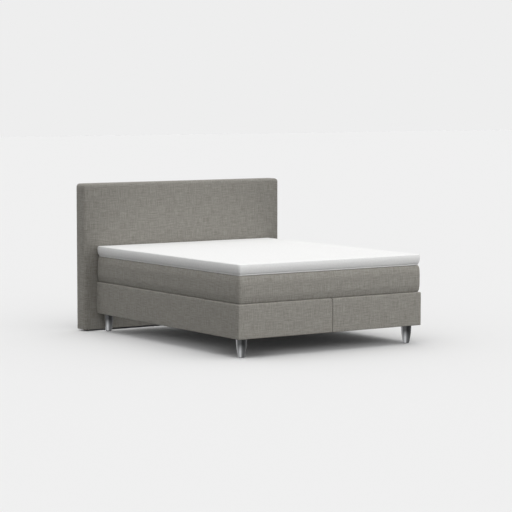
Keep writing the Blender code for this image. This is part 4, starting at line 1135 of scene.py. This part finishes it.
dress(foam, "mattress_lower_foam", "mattress_upper_foam")
dress(spring_fleece, "mattress_springs")
low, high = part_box("mattress_cover")
profile = [(MATTRESS_TOP_INSET, high.z),
           (MATTRESS_TOP_DRAW + MATTRESS_TOP_EASE[0], high.z - MATTRESS_TOP_DIP)]
profile += [(inset + MATTRESS_SLACK, level) for inset, level in
            barrelled_side(low.z + MATTRESS_LOW_EASE[1], high.z - MATTRESS_TOP_EASE[1], MATTRESS_TOP_DRAW,
                           MATTRESS_LOW_DRAW, MATTRESS_FULLNESS, 18)]
profile += [(MATTRESS_LOW_DRAW + MATTRESS_LOW_EASE[0], low.z), (MATTRESS_LIP, low.z),
            (MATTRESS_LIP + MATTRESS_LIP_EDGE, low.z + MATTRESS_LIP_HEIGHT),
            (MATTRESS_LIP_END, low.z + MATTRESS_LIP_HEIGHT)]


def mattress_freedom(point):
    """Free on the sides, held where the mattress lies on the bases and under the topper."""
    share = (point.z - low.z) / (high.z - low.z)
    return math.sin(math.pi * min(max(share, 0.0), 1.0)) ** 0.6


shape = padded_form(low.xy, high.xy, (MATTRESS_CORNER,) * 4, even(profile))
mattress = piece_from("mattress_upholstery", shape, upholstery)
swell(mattress, mattress_freedom, MATTRESS_SWELL, (low, high))
settle(mattress, mattress_freedom, MATTRESS_WAVE)
lay_weave(mattress.data)
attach(mattress, "mattress")
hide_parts("mattress_cover")
panel = stretched_cloth("mattress_lining", "mattress_underside", lining, "mattress", 0.0,
                        [low.z + level for level in MATTRESS_PANEL_LEVELS])

# Topper: a foam core in a white knitted cover, loose on the mattress. The cover is softly full, with a
# piped seam round its lower edge, where the boxing meets the underside; the core is drawn in there too.

TOPPER_TOP_RADIUS = 0.008
TOPPER_TOP_INSET = 0.055
TOPPER_TOP_DRAW = 0.0025
TOPPER_TOP_SHARE = 0.3
TOPPER_LOW_DRAW = 0.011
TOPPER_LOW_POWER = 2.2
TOPPER_SEAM_LEVEL = 0.0135
TOPPER_SIDE_ROWS = 9
TOPPER_TUCK = ((0.0155, 0.0100), (0.0195, 0.0078))
TOPPER_HEM = ((0.0190, 0.0006), (0.0230, 0.0))
TOPPER_CORNER = 0.024
TOPPER_SLACK = 0.001
TOPPER_LIP = 0.050
TOPPER_LIP_EDGE = 0.0006
TOPPER_LIP_HEIGHT = 0.0025
TOPPER_LIP_END = 0.070
TOPPER_PANEL_LEVELS = (0.0018, 0.0004)
TOPPER_RISE = 0.0015
TOPPER_HELD_HEIGHT = 0.014
TOPPER_FREE_HEIGHT = 0.020
TOPPER_SWELL = 0.0015
TOPPER_WAVE = 0.0007
PIPING_RADIUS = 0.0024
PIPING_INSET = 0.0170
PIPING_LEVEL = 0.0045
CORE_CLEARANCE = 0.0035
CORE_EDGE = 0.0005
CORE_TUCK_LEVEL = 0.0112
CORE_LOW_INSET = 0.0240
KNIT_WHITE = "#ececeb"
KNIT_SHADE = "#e0e0e0"
KNIT_RELIEF = 0.0004
STITCH_PAINTED_SHADE_SHARE = 0.4
SOFT_SPOTS_PER_METRE = 70.0
WALE_WIDTH = 0.004
COURSE_HEIGHT = 0.003


def knitted_ticking():
    """Knitted polyester ticking: white, soft and matt, in columns of small V-shaped stitches.

    The real stitches are about 1 mm wide; they are drawn 4 mm wide, so that the knit shows."""
    material, tree, shader = new_finish("white_knitted_ticking", {
        "Roughness": 0.9, "Specular IOR Level": 0.2, "Sheen Weight": 0.05, "Sheen Roughness": 0.5})
    place = add_node(tree, "ShaderNodeUVMap", uv_map="weave")
    parts = add_node(tree, "ShaderNodeSeparateXYZ", {0: place}).outputs
    wale, course = [add_node(tree, "ShaderNodeMath", {0: part, 1: 1 / size}, operation="MULTIPLY")
                    for part, size in zip(parts, (WALE_WIDTH, COURSE_HEIGHT))]
    slant = add_node(tree, "ShaderNodeMath", {0: wale, 1: 0.5}, operation="PINGPONG")
    stitch = add_node(tree, "ShaderNodeMath", {0: course, 1: slant}, operation="ADD")
    stitch = add_node(tree, "ShaderNodeMath", {0: stitch, 1: 0.5}, operation="PINGPONG")
    leg = add_node(tree, "ShaderNodeMath", {0: wale, 1: 0.25}, operation="PINGPONG")
    height = add_node(tree, "ShaderNodeMath", {0: stitch, 1: leg}, operation="ADD")
    height = add_node(tree, "ShaderNodeMapRange", {0: height, 1: 0.0, 2: 0.75})
    soft = add_node(tree, "ShaderNodeTexNoise", {
        "Vector": place, "Scale": SOFT_SPOTS_PER_METRE, "Detail": 2.0}, noise_dimensions="2D")
    # The stitches' relief goes into the colour too, lighter on their crests and darker in the hollows:
    # painted shade, over the random soft spots.
    tone_and_painted_shade = add_node(tree, "ShaderNodeMath", {0: height, 1: STITCH_PAINTED_SHADE_SHARE, 2: soft}, operation="MULTIPLY_ADD")
    feed(tree, shader, {"Base Color": between(tree, tone_and_painted_shade, KNIT_SHADE, KNIT_WHITE)})
    raise_surface(tree, shader, height, KNIT_RELIEF, 0.5)
    return material


knit = knitted_ticking()
low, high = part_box("topper_cover")
core_low, core_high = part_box("topper_core")
edge_top = high.z - TOPPER_RISE
side_top, side_low = edge_top - TOPPER_TOP_RADIUS, low.z + TOPPER_SEAM_LEVEL
side = edge_arc(TOPPER_TOP_DRAW + TOPPER_TOP_RADIUS, side_top, TOPPER_TOP_RADIUS, 0, 75, 5)
for row in range(TOPPER_SIDE_ROWS + 1):
    share = row / TOPPER_SIDE_ROWS
    top_draw = TOPPER_TOP_DRAW * max(1 - share / TOPPER_TOP_SHARE, 0) ** 2
    low_share = max((share - TOPPER_TOP_SHARE) / (1 - TOPPER_TOP_SHARE), 0)
    side.append((top_draw + TOPPER_LOW_DRAW * low_share ** TOPPER_LOW_POWER,
                 side_top + (side_low - side_top) * share))
tuck_inset = TOPPER_TUCK[-1][0] + CORE_CLEARANCE
profile = [(TOPPER_TOP_INSET, core_high.z)]
profile += [(inset + CORE_CLEARANCE, level) for inset, level in side if level < core_high.z - CORE_EDGE]
profile += [(tuck_inset, low.z + CORE_TUCK_LEVEL), (tuck_inset, core_low.z + CORE_EDGE),
            (CORE_LOW_INSET, core_low.z), (TOPPER_LIP_END, core_low.z)]
shape = padded_form(low.xy, high.xy, (TOPPER_CORNER,) * 4, even(profile))
core = piece_from("topper_foam_core", shape, foam)
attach(core, "topper")
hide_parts("topper_core")
profile = [(TOPPER_TOP_INSET, edge_top)] + side
profile += [(inset, low.z + height) for inset, height in TOPPER_TUCK]
profile += edge_arc(PIPING_INSET, low.z + PIPING_LEVEL, PIPING_RADIUS, -30, 200, 9)
profile += [(inset, low.z + height) for inset, height in TOPPER_HEM]
profile = [(inset + TOPPER_SLACK, level) for inset, level in profile]
profile += [(TOPPER_LIP, low.z), (TOPPER_LIP + TOPPER_LIP_EDGE, low.z + TOPPER_LIP_HEIGHT),
            (TOPPER_LIP_END, low.z + TOPPER_LIP_HEIGHT)]


def topper_freedom(point):
    """Free above and on the sides, held along the piping and where it lies on the mattress."""
    return min(max((point.z - low.z - TOPPER_HELD_HEIGHT) / TOPPER_FREE_HEIGHT, 0.0), 1.0)


shape = padded_form(low.xy, high.xy, (TOPPER_CORNER,) * 4, even(profile))
topper = piece_from("topper_knitted_cover", shape, knit)
swell(topper, topper_freedom, TOPPER_SWELL, (low, high))
settle(topper, topper_freedom, TOPPER_WAVE)
lay_weave(topper.data)
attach(topper, "topper")
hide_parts("topper_cover")
panel = stretched_cloth("topper_knitted_underside", "topper_underside", knit, "topper", 0.0,
                        [low.z + level for level in TOPPER_PANEL_LEVELS])
